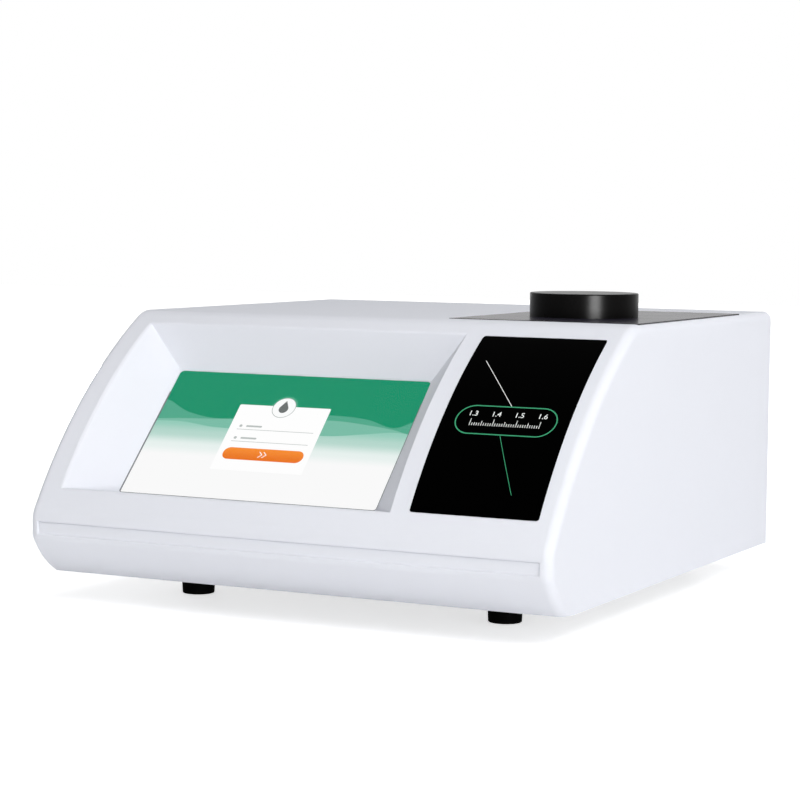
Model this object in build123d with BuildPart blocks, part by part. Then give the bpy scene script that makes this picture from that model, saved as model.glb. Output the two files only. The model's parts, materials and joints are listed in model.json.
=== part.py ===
from build123d import *
import math
import os

# A bench refractometer: a white moulded case with a sunken touch screen, a black front
# panel and, on the roof, a glass stage whose sample dish is closed by a lift-off cap.
# Millimetres. X runs to the right, Y to the back, Z up. The origin is under the middle of
# the case, on the surface that the feet stand on.

os.makedirs("parts", exist_ok=True)

# ---------------------------------------------------------------- driving dimensions
# case
width = 430.0
depth = 462.0
body_height = 196.5
foot_height = 22.0
wall = 3.0
brow_setback = 151.0  # start of the flat roof behind the front of the case
front_radius = 413.5  # bowed front, seen from the side
band_top = 47.0  # upright band over the chin, height above the underside
chin_height = 29.0
chin_setback = 28.5
chin_radius = 70.0
chin_corner = 8.0
brow_radius = 25.0
band_radius = 20.0
edge_radius = 7.0
groove_inset = 8.5  # from each side of the case
groove_height = 9.3
groove_depth = 1.0
groove_lift = 36.8  # middle of the groove above the underside
groove_chamfer = 0.9  # along its lower edge and its left end
slit_width = 0.8  # shadow gap along the upper edge and the right end of the groove
slit_depth = 2.2

# clearances
fit_gap = 0.3  # pieces dropped into a pocket
slide_gap = 0.1  # pieces that slide
shaft_gap = 0.02  # shafts and screws in their holes

# display recess and window
window_width = 222.0
window_height = 125.5
window_tilt = 45.0
window_lift = 106.0  # middle of the window above the underside
window_setback = 90.0  # middle of the window behind the front of the case
window_lip = 1.0
recess_flare = 29.0  # from the window out to each side of the recess
recess_inset = 161.5  # middle of the recess from the left side of the case
recess_bottom = 66.5  # above the underside
recess_top = 187.0
recess_wall = 4.5
rim_radius = 3.0  # upper, left and lower rim of the recess
recess_reach = 18.0  # how far the recess cut runs out in front of the case
window_corner = 3.5
cut_margin = 1.0  # cuts start this far outside the face that they cut
glass_margin = 7.0
glass_thickness = 1.8
module_thickness = 5.0
frame_rim = 8.0
bracket_thickness = 1.5
board_thickness = 1.6
display_board_size = (120.0, 70.0)
display_board_stand = 6.0
display_board_inset = 6.0
ribbon_plug_drop = 23.0  # ribbon socket below the middle of the display board

# black front panel
panel_width = 98.5
panel_inset = 64.7  # middle of the panel from the right side of the case
panel_thickness = 2.0
panel_proud = 0.2
panel_margin = 1.2  # lower and upper edge inside the height of the recess
panel_corner = 2.0

# stage plate on the roof
stage_width = 154.5
stage_inset = 81.8  # middle of the plate from the right side of the case
stage_front_margin = 14.0  # behind the start of the flat roof
stage_back_margin = 68.0  # in front of the back of the case
stage_thickness = 3.0
stage_proud = 0.4
stage_corner = 2.0
stage_bevel = 0.4
pad_extra = 3.0
pad_margin = 8.0

# sample unit
sample_inset = 87.0  # from the right side of the case
sample_setback = 109.5  # behind the start of the flat roof
flange_diameter = 64.0
flange_thickness = 1.5
seal_thickness = 0.5
barrel_diameter = 53.6
barrel_length = 21.5  # under the flange
bowl_top_diameter = 44.0
bowl_bottom_diameter = 22.0
bowl_depth = 8.5
dish_floor = 2.0
dish_bore = 42.0
dish_thread = 8.0
dish_screw_count = 4
dish_edge = 0.5
prism_face = 14.0
prism_flange = 20.0
prism_flange_thickness = 3.0
prism_seal_thickness = 1.0
prism_body_width = 16.0
prism_tip_width = 8.0
prism_body_depth = 12.0
prism_drop = 8.0
holder_thickness = 5.0
holder_boss = 1.0

# cap
cap_diameter = 85.0
cap_height = 18.6
cap_wall = 4.0
cap_roof = 4.0
cap_edge = 1.0
liner_thickness = 2.0
liner_skirt = 2.0
cap_centring = 0.5
cap_seal_width = 2.0
cap_seal_depth = 2.0

# optics under the stage
chassis_width = 120.0
chassis_front = 60.0  # from the dish axis forward
chassis_tail = 40.0  # behind the middle of the cooler
chassis_thickness = 8.0
chassis_window = 38.0
post_diameter = 10.0
post_inset = 10.0
block_size = (62.0, 44.0, 36.0)
block_screw_pitch = (52.0, 34.0)
bore_offset = 13.0
bore_upper = 14.0
bore_lower = 11.0
collimator_seat = 16.0  # above the bottom of the block
barrel_seat = 6.0
lens_thickness = 3.0
filter_thickness = 2.0
barrel_height = 18.0
barrel_aperture = 9.0
objective_seat = 8.0
led_board_size = 22.0
lamp_diameter = 5.0
lamp_height = 6.0
sensor_board_size = (22.0, 26.0)
sensor_size = (7.0, 7.0, 2.0)
probe_diameter = 3.0
probe_length = 25.0
probe_buried = 20.0

# cooling
peltier_size = 40.0
peltier_thickness = 3.8
sink_width = 80.0
sink_depth = 70.0
sink_base = 5.0
fin_height = 30.0
fin_thickness = 1.5
fin_count = 11
fin_span = 62.0
sink_screw_pitch = (72.0, 50.0)
fan_size = 60.0
fan_thickness = 15.0
fan_bore = 57.0
fan_hub = 24.0
fan_lift = 146.0  # fan axis above the underside
fan_pitch = 50.0
blade_count = 7
blade_tip = 27.2
blade_chord = 13.0
blade_thickness = 1.2
blade_angle = 42.0
blade_root = 1.0  # sunk into the hub
fan_corner = 3.6
rotor_depth = 10.0
rotor_gap = 0.5
strut_width = 5.0
strut_depth = 2.5
strut_root = 1.2  # sunk into the ring of the frame
spindle_diameter = 3.0
bush_diameter = 8.0
bush_length = 6.0
guard_thickness = 2.0
guard_ring_width = 1.6
guard_rings = (57.0, 45.0, 33.0, 21.0)

# base and rear panel
plate_thickness = 2.0
base_corner = 8.0
rear_recess = 6.0
foot_diameter = 27.0
foot_taper = 1.0
foot_inset = 83.0  # foot axis from the side of the case
front_foot_setback = 109.5  # foot axis behind the front of the case
rear_foot_setback = 51.0  # foot axis in front of the back of the case
foot_well_diameter = 10.0
foot_well_depth = 14.0
screw_grip = 4.0  # how far the foot screws reach into the case
vent_length = 46.0
vent_width = 3.0
vent_pitch = 8.0
vent_count = 9
vent_lift = 118.0
lug_size = 12.0
lug_height = 22.0
base_lug_inset = 77.0  # from the front and the back of the case
rear_lug_lift = 65.5
rear_lug_left = 107.5  # from the side of the case
rear_lug_right = 143.5  # from the side of the case

# electronics
main_board_size = (160.0, 128.0)
main_board_left = 105.0  # middle of the board from the left side of the case
main_board_gap = 5.0  # board to rear panel
main_board_inset = (6.0, 12.0)
standoff_height = 8.0
standoff_diameter = 6.0
supply_size = (98.0, 150.0, 38.0)
supply_inset = 95.0  # from the right side of the case
supply_setback = 221.0  # behind the front of the case
supply_wall = 1.2
supply_stand = 4.0
supply_margin = 1.2  # round the supply board
supply_screw_inset = 12.0

# mains inlet, fuse drawer and switch
inlet_inset = 55.0  # from the right side of the case
inlet_lift = 46.0
inlet_flange = (30.0, 50.0)
inlet_flange_thickness = 2.5
inlet_body = (27.0, 46.0)
inlet_depth = 28.0
socket_size = (24.0, 16.5)
socket_depth = 17.0
socket_shift = 9.5
pin_size = (4.0, 2.0)
pin_length = 14.0
pin_pitch = 7.0
drawer_size = (23.0, 9.5)
drawer_depth = 24.0
drawer_shift = -14.0
drawer_lip = 2.5
drawer_grip = (11.5, 1.5)
drawer_grip_shift = 2.4
drawer_travel = 22.0
fuse_diameter = 5.0
fuse_length = 20.0
switch_inset = 103.0  # from the right side of the case
switch_bezel = (21.0, 27.0)
switch_bezel_thickness = 2.0
switch_opening = (13.0, 19.2)
switch_wall = 1.5
switch_depth = 16.0
switch_angle = 18.0
rocker_length = 17.6
rocker_back = 5.0
rocker_rise = 3.5
pivot_sunk = 2.0
pivot_diameter = 2.5

# parts on the boards
processor_size = (24.0, 24.0, 3.0)
capacitor_shift = 36.0  # beside the processor
capacitor_diameter = 10.0
capacitor_height = 16.0
capacitor_pitch = 15.0
supply_capacitor_shift = 30.0  # in front of the transformer
transformer_size = (34.0, 30.0, 24.0)
terminal_size = (50.0, 9.0, 12.0)
plug_size = (24.0, 7.0, 5.0)

# cables
ribbon_shift = 30.0  # beside the middle of the main board
ribbon_lead = 54.0  # socket in front of the middle of the main board
ribbon_width = 16.0
ribbon_thickness = 0.8
ribbon_bend = 20.0
cable_shift = 65.0  # beside the middle of the main board
cable_lead = 4.0  # socket in front of the middle of the main board
cable_lift = 98.0
cable_diameter = 4.0
cable_bend = 24.0
lead_diameter = 2.6
lead_bend = 15.6
lead_straight = 28.0

# sockets on the main board
port_depth = 22.0
port_proud = 1.0
mouth_depth = 11.0
shell_corner = 2.0
network_mouth_depth = 14.0
shell_length = 4.5
serial_row = 2.8
serial_pitch = 2.8
serial_pin = 1.0
serial_pins = (5, 4)
serial_rim = 0.9
usb_shift = -50.0  # beside the middle of the main board
usb_size = (14.5, 16.0)
usb_mouth = (12.0, 5.0)
usb_pitch = 8.0
usb_tongue = (10.2, 1.8)
network_shift = -12.0
network_size = (16.0, 13.5)
network_mouth = (11.7, 8.2)
serial_shift = 38.0
serial_size = (31.0, 12.5)
serial_shell = (18.5, 9.0)

# screws
screw_m3 = 3.0
screw_m4 = 4.0
head_m3 = 2.4
head_m4 = 2.8
head_ratio = 1.9  # head diameter over screw diameter

# ---------------------------------------------------------------- derived places
half_width = width / 2
front_y = -depth / 2
back_y = depth / 2
floor_z = foot_height
roof_z = floor_z + body_height
brow_y = front_y + brow_setback
recess_middle = recess_inset - half_width
recess_width = window_width + 2 * recess_flare
panel_middle = half_width - panel_inset
sample_x = half_width - sample_inset
sample_y = brow_y + sample_setback
stage_x = half_width - stage_inset


def inner_centre(start, end, radius):
    """Centre of an arc in the side view, on the right of the way from start to end."""
    chord = end - start
    drop = math.sqrt(radius**2 - (chord.length / 2) ** 2)
    return (start + end) / 2 + Vector(chord.Y, -chord.X).normalized() * drop


front_centre = inner_centre(
    Vector(front_y, floor_z + band_top), Vector(brow_y, roof_z), front_radius
)
chin_centre = inner_centre(
    Vector(front_y + chin_setback, floor_z), Vector(front_y, floor_z + chin_height), chin_radius
)

plate_z = floor_z + plate_thickness
panel_back_y = back_y - rear_recess
panel_front_y = panel_back_y - plate_thickness
inner_x = half_width - wall
stage_z = roof_z + stage_proud
stage_depth = back_y - stage_back_margin - brow_y - stage_front_margin
stage_y = brow_y + stage_front_margin + stage_depth / 2
pad_z = roof_z - wall - pad_extra
pad_left = stage_x - stage_width / 2 - 2 * pad_margin
pad_front = stage_y - stage_depth / 2 - pad_margin
dish_z = stage_z + seal_thickness
dish_top = dish_z + flange_thickness
bowl_z = dish_top - bowl_depth
seat_z = bowl_z - dish_floor
prism_flange_top = seat_z - prism_seal_thickness
prism_flange_z = prism_flange_top - prism_flange_thickness
holder_top = prism_flange_z - holder_boss
chassis_top = dish_z - barrel_length
chassis_z = chassis_top - chassis_thickness
block_z = chassis_z - block_size[2]
dish_screw_radius = (barrel_diameter + dish_bore) / 4
display_board_pitch = [size - 2 * display_board_inset for size in display_board_size]
# the cooler stands midway between the optics block and the fan
cooler_y = (sample_y + block_size[1] / 2 + panel_front_y - fan_thickness) / 2
chassis_back = cooler_y + chassis_tail - sample_y
pad_back = max(stage_y + stage_depth / 2, cooler_y + chassis_tail) + pad_margin
sink_top = chassis_z - peltier_thickness
fan_z = floor_z + fan_lift
board_z = plate_z + standoff_height
board_top = board_z + board_thickness
main_board_y = panel_front_y - main_board_gap - main_board_size[1] / 2
inlet_z = floor_z + inlet_lift
inlet_x = half_width - inlet_inset
switch_x = half_width - switch_inset
supply_x = half_width - supply_inset
supply_y = front_y + supply_setback
main_board_x = main_board_left - half_width
usb_x, network_x, serial_x = [main_board_x + shift for shift in (usb_shift, network_shift, serial_shift)]
ribbon_x = main_board_x + ribbon_shift
ribbon_socket_y = main_board_y - ribbon_lead
cable_x = main_board_x + cable_shift
cable_y = main_board_y - cable_lead

half_window = window_height / 2
window_plane = Plane(
    origin=(recess_middle, front_y + window_setback, floor_z + window_lift),
    x_dir=(1, 0, 0),
    z_dir=(0, -math.sin(math.radians(window_tilt)), math.cos(math.radians(window_tilt))),
)
glass_size = (window_width + 2 * glass_margin, window_height + 2 * glass_margin)
frame_size = (glass_size[0] + 2 * frame_rim, glass_size[1] + 2 * frame_rim)
frame_depth = window_lip + glass_thickness + module_thickness
display_back = frame_depth + bracket_thickness


STANDING = (Align.CENTER, Align.CENTER, Align.MIN)
HANGING = (Align.CENTER, Align.CENTER, Align.MAX)


# ---------------------------------------------------------------- shared outlines
def front_at(z, inset=0.0):
    """Y of the bowed front at height z, or of a surface that lies inset behind it."""
    return front_centre.X - math.sqrt((front_radius - inset) ** 2 - (z - front_centre.Y) ** 2)


def bulge(start, end, centre):
    """Arc from start to end about centre, in the sketch of the side view."""
    start, end = Vector(*start), Vector(*end)
    radius = (start - centre).length
    middle = centre + ((start + end) / 2 - centre).normalized() * radius
    ThreePointArc(start, middle, end)


def chin_at(z, inset=0.0):
    """Y of the chin at height z, or of a surface that lies inset behind it."""
    return chin_centre.X - math.sqrt((chin_radius - inset) ** 2 - (z - chin_centre.Y) ** 2)


def front_lines(low_z, inset):
    """Chin from height low_z, band and bowed front; returns the ends and the two corners."""
    band_y = front_y + inset
    low = (chin_at(low_z, inset), low_z)
    corner_z = chin_centre.Y - math.sqrt((chin_radius - inset) ** 2 - (band_y - chin_centre.X) ** 2)
    band_z = front_centre.Y + math.sqrt((front_radius - inset) ** 2 - (band_y - front_centre.X) ** 2)
    head = (front_at(roof_z - inset, inset), roof_z - inset)
    bulge(low, (band_y, corner_z), chin_centre)
    Line((band_y, corner_z), (band_y, band_z))
    bulge((band_y, band_z), head, front_centre)
    return low, (band_y, corner_z), (band_y, band_z), head


def soften(sketch, corner, radius):
    """Round the sketch corner nearest to a point."""
    fillet(sketch.vertices().sort_by_distance((corner[0], corner[1], 0))[0], radius)


def long_edges(part, side_x, low_z, end_y):
    """Edges of the two side faces, without those at the sole and at the back."""
    sides = part.edges().filter_by(lambda e: math.isclose(abs(e.center().X), side_x, abs_tol=0.01))
    sides = sides.filter_by(lambda e: not math.isclose(e.center().Z, low_z, abs_tol=0.01))
    return sides.filter_by(lambda e: not math.isclose(e.center().Y, end_y, abs_tol=0.01))


def front_patch(middle, across, bottom, top, outer, inner, corner):
    """Slab that follows the bowed front, between the insets outer and inner."""
    with BuildSketch(Plane.YZ.offset(middle - across / 2)) as patch_side:
        with BuildLine():
            bulge((front_at(bottom, outer), bottom), (front_at(top, outer), top), front_centre)
            Line((front_at(top, outer), top), (front_at(top, inner), top))
            bulge((front_at(top, inner), top), (front_at(bottom, inner), bottom), front_centre)
            Line((front_at(bottom, inner), bottom), (front_at(bottom, outer), bottom))
        make_face()
    slab = extrude(patch_side.sketch, amount=across, mode=Mode.PRIVATE)
    with BuildSketch(Plane.XZ.offset(-front_y)) as patch_front:
        with Locations((middle, (bottom + top) / 2)):
            RectangleRounded(across, top - bottom, corner)
    face = extrude(patch_front.sketch, amount=-depth, mode=Mode.PRIVATE)
    return slab & face


def recess_section(x, grow, at_rim, outward):
    """Side view of the recess at one x: its inner edge is the window, or the front at its rim."""
    low_z = floor_z + recess_bottom - grow
    high_z = floor_z + recess_top
    lip = window_lip if grow else 0.0
    centre = Vector(front_y + window_setback, floor_z + window_lift)
    slope = Vector(math.cos(math.radians(window_tilt)), math.sin(math.radians(window_tilt)))
    depth_way = Vector(slope.Y, -slope.X)
    low_inner = centre - slope * (half_window + grow) + depth_way * lip
    high_inner = centre + slope * (half_window + grow) + depth_way * lip
    low_rim = Vector(front_at(low_z, grow), low_z)
    high_rim = Vector(front_at(high_z, grow), high_z)
    if outward:
        low_outer = low_rim + (low_rim - low_inner).normalized() * outward
        high_outer = high_rim + (high_rim - high_inner).normalized() * outward
    else:
        low_outer = Vector(front_at(low_z, wall / 2), low_z)
        high_outer = Vector(front_at(high_z, wall / 2), high_z)
    with BuildSketch(Plane.YZ.offset(x)) as section_face:
        with BuildLine():
            if at_rim:
                bulge(low_rim, high_rim, front_centre)
                Line(high_rim, high_outer)
            else:
                Line(low_inner, high_inner)
                Line(high_inner, high_outer)
            if outward:
                Line(high_outer, low_outer)
            else:
                bulge(high_outer, low_outer, front_centre)
            Line(low_outer, low_rim if at_rim else low_inner)
        make_face()
    return section_face.sketch


def recess_solid(grow, outward):
    """The recess as a solid; grow makes it the outside of the walls around the recess."""
    near = window_width / 2 + grow
    far = recess_width / 2 + grow
    inner = [recess_section(recess_middle + s * near, grow, False, outward) for s in (-1, 1)]
    rims = [recess_section(recess_middle + s * far, grow, True, outward) for s in (-1, 1)]
    solid = extrude(inner[0], amount=2 * near, mode=Mode.PRIVATE)
    for rim, face in zip(rims, inner):
        solid += loft([rim.face(), face.face()], ruled=True, mode=Mode.PRIVATE)
    return solid


def screw(diameter, length, head_height):
    """Pan-head screw: its head stands on the location, its shank runs down from it."""
    Cylinder(diameter / 2 - shaft_gap, length, align=HANGING)
    Cylinder(head_ratio * diameter / 2, head_height, align=STANDING)


def ring(outer, inner, height):
    """Flat ring that stands on the location."""
    Cylinder(outer / 2, height, align=STANDING)
    Cylinder(inner / 2, height, align=STANDING, mode=Mode.SUBTRACT)


def finish(piece, name):
    """Label a piece and write its STEP file."""
    piece.part.label = name
    export_step(piece.part, f"parts/{name}.step")
    print(name, len(piece.part.solids()), round(piece.part.volume), piece.part.is_valid)


# ---------------------------------------------------------------- shared places
bracket_plane = window_plane.offset(-frame_depth)
probe_place = Location(
    (sample_x + chassis_width / 2, sample_y, chassis_z + chassis_thickness / 2), (0, 90, 0)
)


def panel_place(gap):
    """Middle, width, lower and upper edge of the front panel's place, gap wider all round."""
    low = floor_z + recess_bottom + panel_margin - gap
    high = floor_z + recess_top - panel_margin + gap
    return panel_middle, panel_width + 2 * gap, low, high


def chassis_posts(z):
    """The four posts between the roof and the optics chassis."""
    reach = chassis_width / 2 - post_inset
    front = sample_y - chassis_front + post_inset
    back = sample_y + chassis_back - post_inset
    return [(sample_x + s * reach, y, z) for s in (-1, 1) for y in (front, back)]


def base_lugs(z):
    """Screw lugs along the side walls, just over the base plate."""
    x = inner_x - lug_size / 2
    y = depth / 2 - base_lug_inset
    return [(s * x, t * y, z) for s in (-1, 1) for t in (-1, 0, 1)]


def rear_lugs(y):
    """Screw lugs along the side walls and the roof, just in front of the rear panel."""
    x = inner_x - lug_size / 2
    low = floor_z + rear_lug_lift
    high = roof_z - wall - lug_size / 2
    left, right = rear_lug_left - half_width, half_width - rear_lug_right
    return [(-x, y, low), (x, y, low), (left, y, high), (right, y, high)]


def bracket_places():
    """Screws of the display bracket, in the rim of the window frame."""
    x = (frame_size[0] - frame_rim) / 2
    y = (frame_size[1] - frame_rim) / 2
    return [Location((s * x, t * y, 0)) for s in (-1, 1) for t in (-1, 0, 1)]


def feet_places(z):
    """The four feet."""
    front = front_y + front_foot_setback
    back = back_y - rear_foot_setback
    return [(s * (half_width - foot_inset), y, z) for y in (front, back) for s in (-1, 1)]


def supply_places(z):
    """Screws that hold the power supply down."""
    x = supply_size[0] / 2 - supply_screw_inset
    y = supply_size[1] / 2 - supply_screw_inset
    return [(supply_x + s * x, supply_y + t * y, z) for s in (-1, 1) for t in (-1, 1)]


def port_places():
    """X, width and height of each socket along the back edge of the main board."""
    return [(usb_x, *usb_size), (network_x, *network_size), (serial_x, *serial_size)]


# ---------------------------------------------------------------- case
with BuildPart() as cavity:
    hollow_width = width - 2 * wall
    below = floor_z - wall / 2
    behind = back_y + wall
    with BuildSketch(Plane.YZ.offset(-hollow_width / 2)) as cavity_side:
        with BuildLine():
            low, chin, band, brow = front_lines(plate_z, wall)
            Polyline(brow, (behind, brow[1]), (behind, below), (low[0], below), low)
        make_face()
        soften(cavity_side, chin, chin_corner - wall)
        soften(cavity_side, band, band_radius - wall)
        soften(cavity_side, brow, brow_radius - wall)
    extrude(amount=hollow_width)
    fillet(long_edges(cavity.part, hollow_width / 2, below, behind), edge_radius - wall)

with BuildPart() as housing:
    with BuildSketch(Plane.YZ.offset(-half_width)) as body_side:
        with BuildLine():
            low, chin, band, brow = front_lines(below, 0.0)
            Polyline(brow, (back_y, roof_z), (back_y, below), low)
        make_face()
        soften(body_side, chin, chin_corner)
        soften(body_side, band, band_radius)
        soften(body_side, brow, brow_radius)
    extrude(amount=width)
    fillet(long_edges(housing.part, half_width, below, back_y), edge_radius)
    split(bisect_by=Plane.XY.offset(floor_z), keep=Keep.TOP)
    add(cavity.part, mode=Mode.SUBTRACT)

    # walls of the recess, and the frame that holds the display behind the window
    add(recess_solid(recess_wall, 0.0))
    with BuildSketch(window_plane):
        Rectangle(*frame_size)
    extrude(amount=-frame_depth)
    add(recess_solid(0.0, recess_reach), mode=Mode.SUBTRACT)
    rim_low, rim_high = floor_z + recess_bottom, floor_z + recess_top
    rim_mid = (rim_low + rim_high) / 2
    rim_places = [
        (recess_middle, front_at(rim_low), rim_low),
        (recess_middle - recess_width / 2, front_at(rim_mid), rim_mid),
        (recess_middle, front_at(rim_high), rim_high),
    ]
    fillet([housing.edges().sort_by_distance(place)[0] for place in rim_places], rim_radius)
    with BuildSketch(window_plane.offset(cut_margin)):
        RectangleRounded(window_width, window_height, window_corner)
    extrude(amount=-cut_margin - frame_depth, mode=Mode.SUBTRACT)
    with BuildSketch(window_plane.offset(-window_lip)):
        Rectangle(glass_size[0] + 2 * fit_gap, glass_size[1] + 2 * fit_gap)
    extrude(amount=-frame_depth, mode=Mode.SUBTRACT)

    # groove along the band, seat of the front panel
    groove_end = half_width - groove_inset
    groove_low = floor_z + groove_lift - groove_height / 2
    groove_high = groove_low + groove_height
    with Locations((0, front_y, groove_low)):
        Box(
            2 * groove_end,
            2 * groove_depth,
            groove_height,
            align=(Align.CENTER, Align.CENTER, Align.MIN),
            mode=Mode.SUBTRACT,
        )
    rim_middles = [(0, front_y, groove_low), (-groove_end, front_y, groove_low + groove_height / 2)]
    chamfer([housing.edges().sort_by_distance(point)[0] for point in rim_middles], groove_chamfer)
    with Locations((groove_end, front_y, groove_high)):
        Box(
            2 * groove_end,
            2 * slit_depth,
            slit_width,
            align=(Align.MAX, Align.CENTER, Align.MAX),
            mode=Mode.SUBTRACT,
        )
        Box(
            slit_width,
            2 * slit_depth,
            groove_height,
            align=(Align.MAX, Align.CENTER, Align.MAX),
            mode=Mode.SUBTRACT,
        )
    add(front_patch(*panel_place(fit_gap), -wall, panel_thickness, panel_corner), mode=Mode.SUBTRACT)

    # thick pad under the stage plate, its seat, and the posts that carry the optics
    with BuildSketch(Plane.XY.offset(pad_z)):
        with Locations(((pad_left + inner_x) / 2, (pad_front + pad_back) / 2)):
            Rectangle(inner_x - pad_left, pad_back - pad_front)
    extrude(amount=roof_z - pad_z - wall)
    with BuildSketch(Plane.XY.offset(stage_z - stage_thickness)):
        with Locations((stage_x, stage_y)):
            RectangleRounded(stage_width + 2 * fit_gap, stage_depth + 2 * fit_gap, stage_corner)
    extrude(amount=stage_thickness, mode=Mode.SUBTRACT)
    with Locations(*chassis_posts(chassis_top)):
        Cylinder(post_diameter / 2, pad_z - chassis_top, align=STANDING)
        Cylinder(screw_m4 / 2, pad_z - chassis_top, align=STANDING, mode=Mode.SUBTRACT)
    with Locations((sample_x, sample_y, pad_z)):
        Cylinder(barrel_diameter / 2 + fit_gap, roof_z - pad_z, align=STANDING, mode=Mode.SUBTRACT)

    # screw lugs for the base plate and the rear panel, screw holes of the display bracket
    with Locations(*base_lugs(plate_z)):
        Box(lug_size, lug_size, lug_height, align=STANDING)
    with Locations(*rear_lugs(panel_front_y)):
        Box(lug_size, lug_height, lug_size, align=(Align.CENTER, Align.MAX, Align.CENTER))
    with Locations(*base_lugs(plate_z)):
        Cylinder(screw_m3 / 2, lug_height - wall, align=STANDING, mode=Mode.SUBTRACT)
    with Locations(*[Location(place, (-90, 0, 0)) for place in rear_lugs(panel_front_y)]):
        Cylinder(screw_m3 / 2, lug_height - wall, align=HANGING, mode=Mode.SUBTRACT)
    with Locations(*[bracket_plane * place for place in bracket_places()]):
        Cylinder(screw_m3 / 2, frame_depth - window_lip, align=STANDING, mode=Mode.SUBTRACT)

finish(housing, "housing")

with BuildPart() as base_plate:
    base_front_y = chin_at(plate_z, wall) + fit_gap
    with BuildSketch(Plane.XY.offset(floor_z)):
        with Locations((0, (base_front_y + back_y) / 2)):
            Rectangle(2 * (inner_x - fit_gap), back_y - base_front_y)
        with Locations(*[(x, y) for x, y, z in base_lugs(0)]):
            Circle(screw_m3 / 2, mode=Mode.SUBTRACT)
        with Locations(*[(x, y) for x, y, z in feet_places(0)]):
            Circle(screw_m4 / 2, mode=Mode.SUBTRACT)
        with Locations(*[(x, y) for x, y, z in supply_places(0)]):
            Circle(screw_m3 / 2, mode=Mode.SUBTRACT)
        with Locations((sample_x, cooler_y)):
            with GridLocations(vent_pitch, 1, vent_count, 1):
                SlotOverall(vent_length, vent_width, rotation=90, mode=Mode.SUBTRACT)
    extrude(amount=plate_thickness)
    front_corners = base_plate.edges().filter_by(Axis.Z).filter_by(GeomType.LINE).group_by(Axis.Y)[0]
    fillet(front_corners, base_corner)
finish(base_plate, "base_plate")

with BuildPart() as rear_panel:
    panel_low = plate_z + fit_gap
    panel_high = roof_z - wall - fit_gap
    with BuildSketch(Plane.XZ.offset(-panel_front_y)):
        with Locations((0, (panel_low + panel_high) / 2)):
            Rectangle(2 * (inner_x - fit_gap), panel_high - panel_low)
    extrude(amount=-plate_thickness)
    upper_edges = rear_panel.edges().filter_by(Axis.Y).group_by(Axis.Z)[-1]
    fillet(upper_edges, edge_radius - wall)
    with BuildSketch(Plane.XZ.offset(-panel_front_y)):
        with Locations((sample_x, fan_z)):
            Circle(fan_bore / 2)
            with GridLocations(fan_pitch, fan_pitch, 2, 2):
                Circle(screw_m4 / 2)
        with Locations(*[(x, z) for x, y, z in rear_lugs(0)]):
            Circle(screw_m3 / 2)
        with Locations((inlet_x, inlet_z)):
            Rectangle(inlet_body[0] + 2 * fit_gap, inlet_body[1] + 2 * fit_gap)
        with Locations((switch_x, inlet_z)):
            Rectangle(*[size + 2 * (switch_wall + fit_gap) for size in switch_opening])
        for x, wide, high in port_places():
            with Locations((x, board_top + high / 2)):
                Rectangle(wide + 2 * fit_gap, high + 2 * fit_gap)
        with Locations((main_board_x, floor_z + vent_lift)):
            with GridLocations(vent_pitch, 1, vent_count, 1):
                SlotOverall(vent_length, vent_width, rotation=90)
    extrude(amount=-plate_thickness, mode=Mode.SUBTRACT)
finish(rear_panel, "rear_panel")


# ---------------------------------------------------------------- display
with BuildPart() as touch_glass:
    with BuildSketch(window_plane.offset(-window_lip)):
        RectangleRounded(*glass_size, window_corner)
    extrude(amount=-glass_thickness)
finish(touch_glass, "touch_glass")

with BuildPart() as display_module:
    with BuildSketch(window_plane.offset(-window_lip - glass_thickness)):
        Rectangle(*glass_size)
    extrude(amount=-module_thickness)
finish(display_module, "display_module")

with BuildPart() as display_bracket:
    with BuildSketch(bracket_plane):
        Rectangle(*frame_size)
        with Locations(*bracket_places()):
            Circle(screw_m3 / 2 + slide_gap, mode=Mode.SUBTRACT)
    extrude(amount=-bracket_thickness)
    with BuildSketch(window_plane.offset(-display_back)):
        with GridLocations(*display_board_pitch, 2, 2):
            Circle(standoff_diameter / 2)
    extrude(amount=-display_board_stand)
    with BuildSketch(window_plane.offset(-display_back)):
        with GridLocations(*display_board_pitch, 2, 2):
            Circle(screw_m3 / 2)
    extrude(amount=-display_board_stand, mode=Mode.SUBTRACT)
finish(display_bracket, "display_bracket")

display_board_plane = window_plane.offset(-display_back - display_board_stand)
display_board_back = display_board_plane.offset(-board_thickness)

with BuildPart() as display_board:
    with BuildSketch(display_board_plane):
        Rectangle(*display_board_size)
        with GridLocations(*display_board_pitch, 2, 2):
            Circle(screw_m3 / 2 + slide_gap, mode=Mode.SUBTRACT)
    extrude(amount=-board_thickness)
    with BuildSketch(display_board_back):
        with Locations((ribbon_x - recess_middle, -ribbon_plug_drop)):
            Rectangle(*plug_size[:2])
    extrude(amount=-plug_size[2])
finish(display_board, "display_board")

with BuildPart() as display_screws:
    flip = Rotation(180, 0, 0)
    back_face = window_plane.offset(-display_back)
    with Locations(*[back_face * place * flip for place in bracket_places()]):
        screw(screw_m3, frame_depth - window_lip, head_m3)
    board_corners = GridLocations(*display_board_pitch, 2, 2)
    with Locations(*[display_board_back * place * flip for place in board_corners]):
        screw(screw_m3, display_board_stand, head_m3)
finish(display_screws, "display_screws")

with BuildPart() as front_panel:
    add(front_patch(*panel_place(0.0), -panel_proud, panel_thickness, panel_corner - fit_gap))
finish(front_panel, "front_panel")

# ---------------------------------------------------------------- stage and sample unit
with BuildPart() as stage_plate:
    with BuildSketch(Plane.XY.offset(stage_z - stage_thickness)):
        with Locations((stage_x, stage_y)):
            RectangleRounded(stage_width, stage_depth, stage_corner - fit_gap)
        with Locations((sample_x, sample_y)):
            Circle(barrel_diameter / 2 + fit_gap, mode=Mode.SUBTRACT)
    extrude(amount=stage_thickness)
    chamfer(stage_plate.faces().sort_by(Axis.Z)[-1].outer_wire().edges(), stage_bevel)
finish(stage_plate, "stage_plate")

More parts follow.
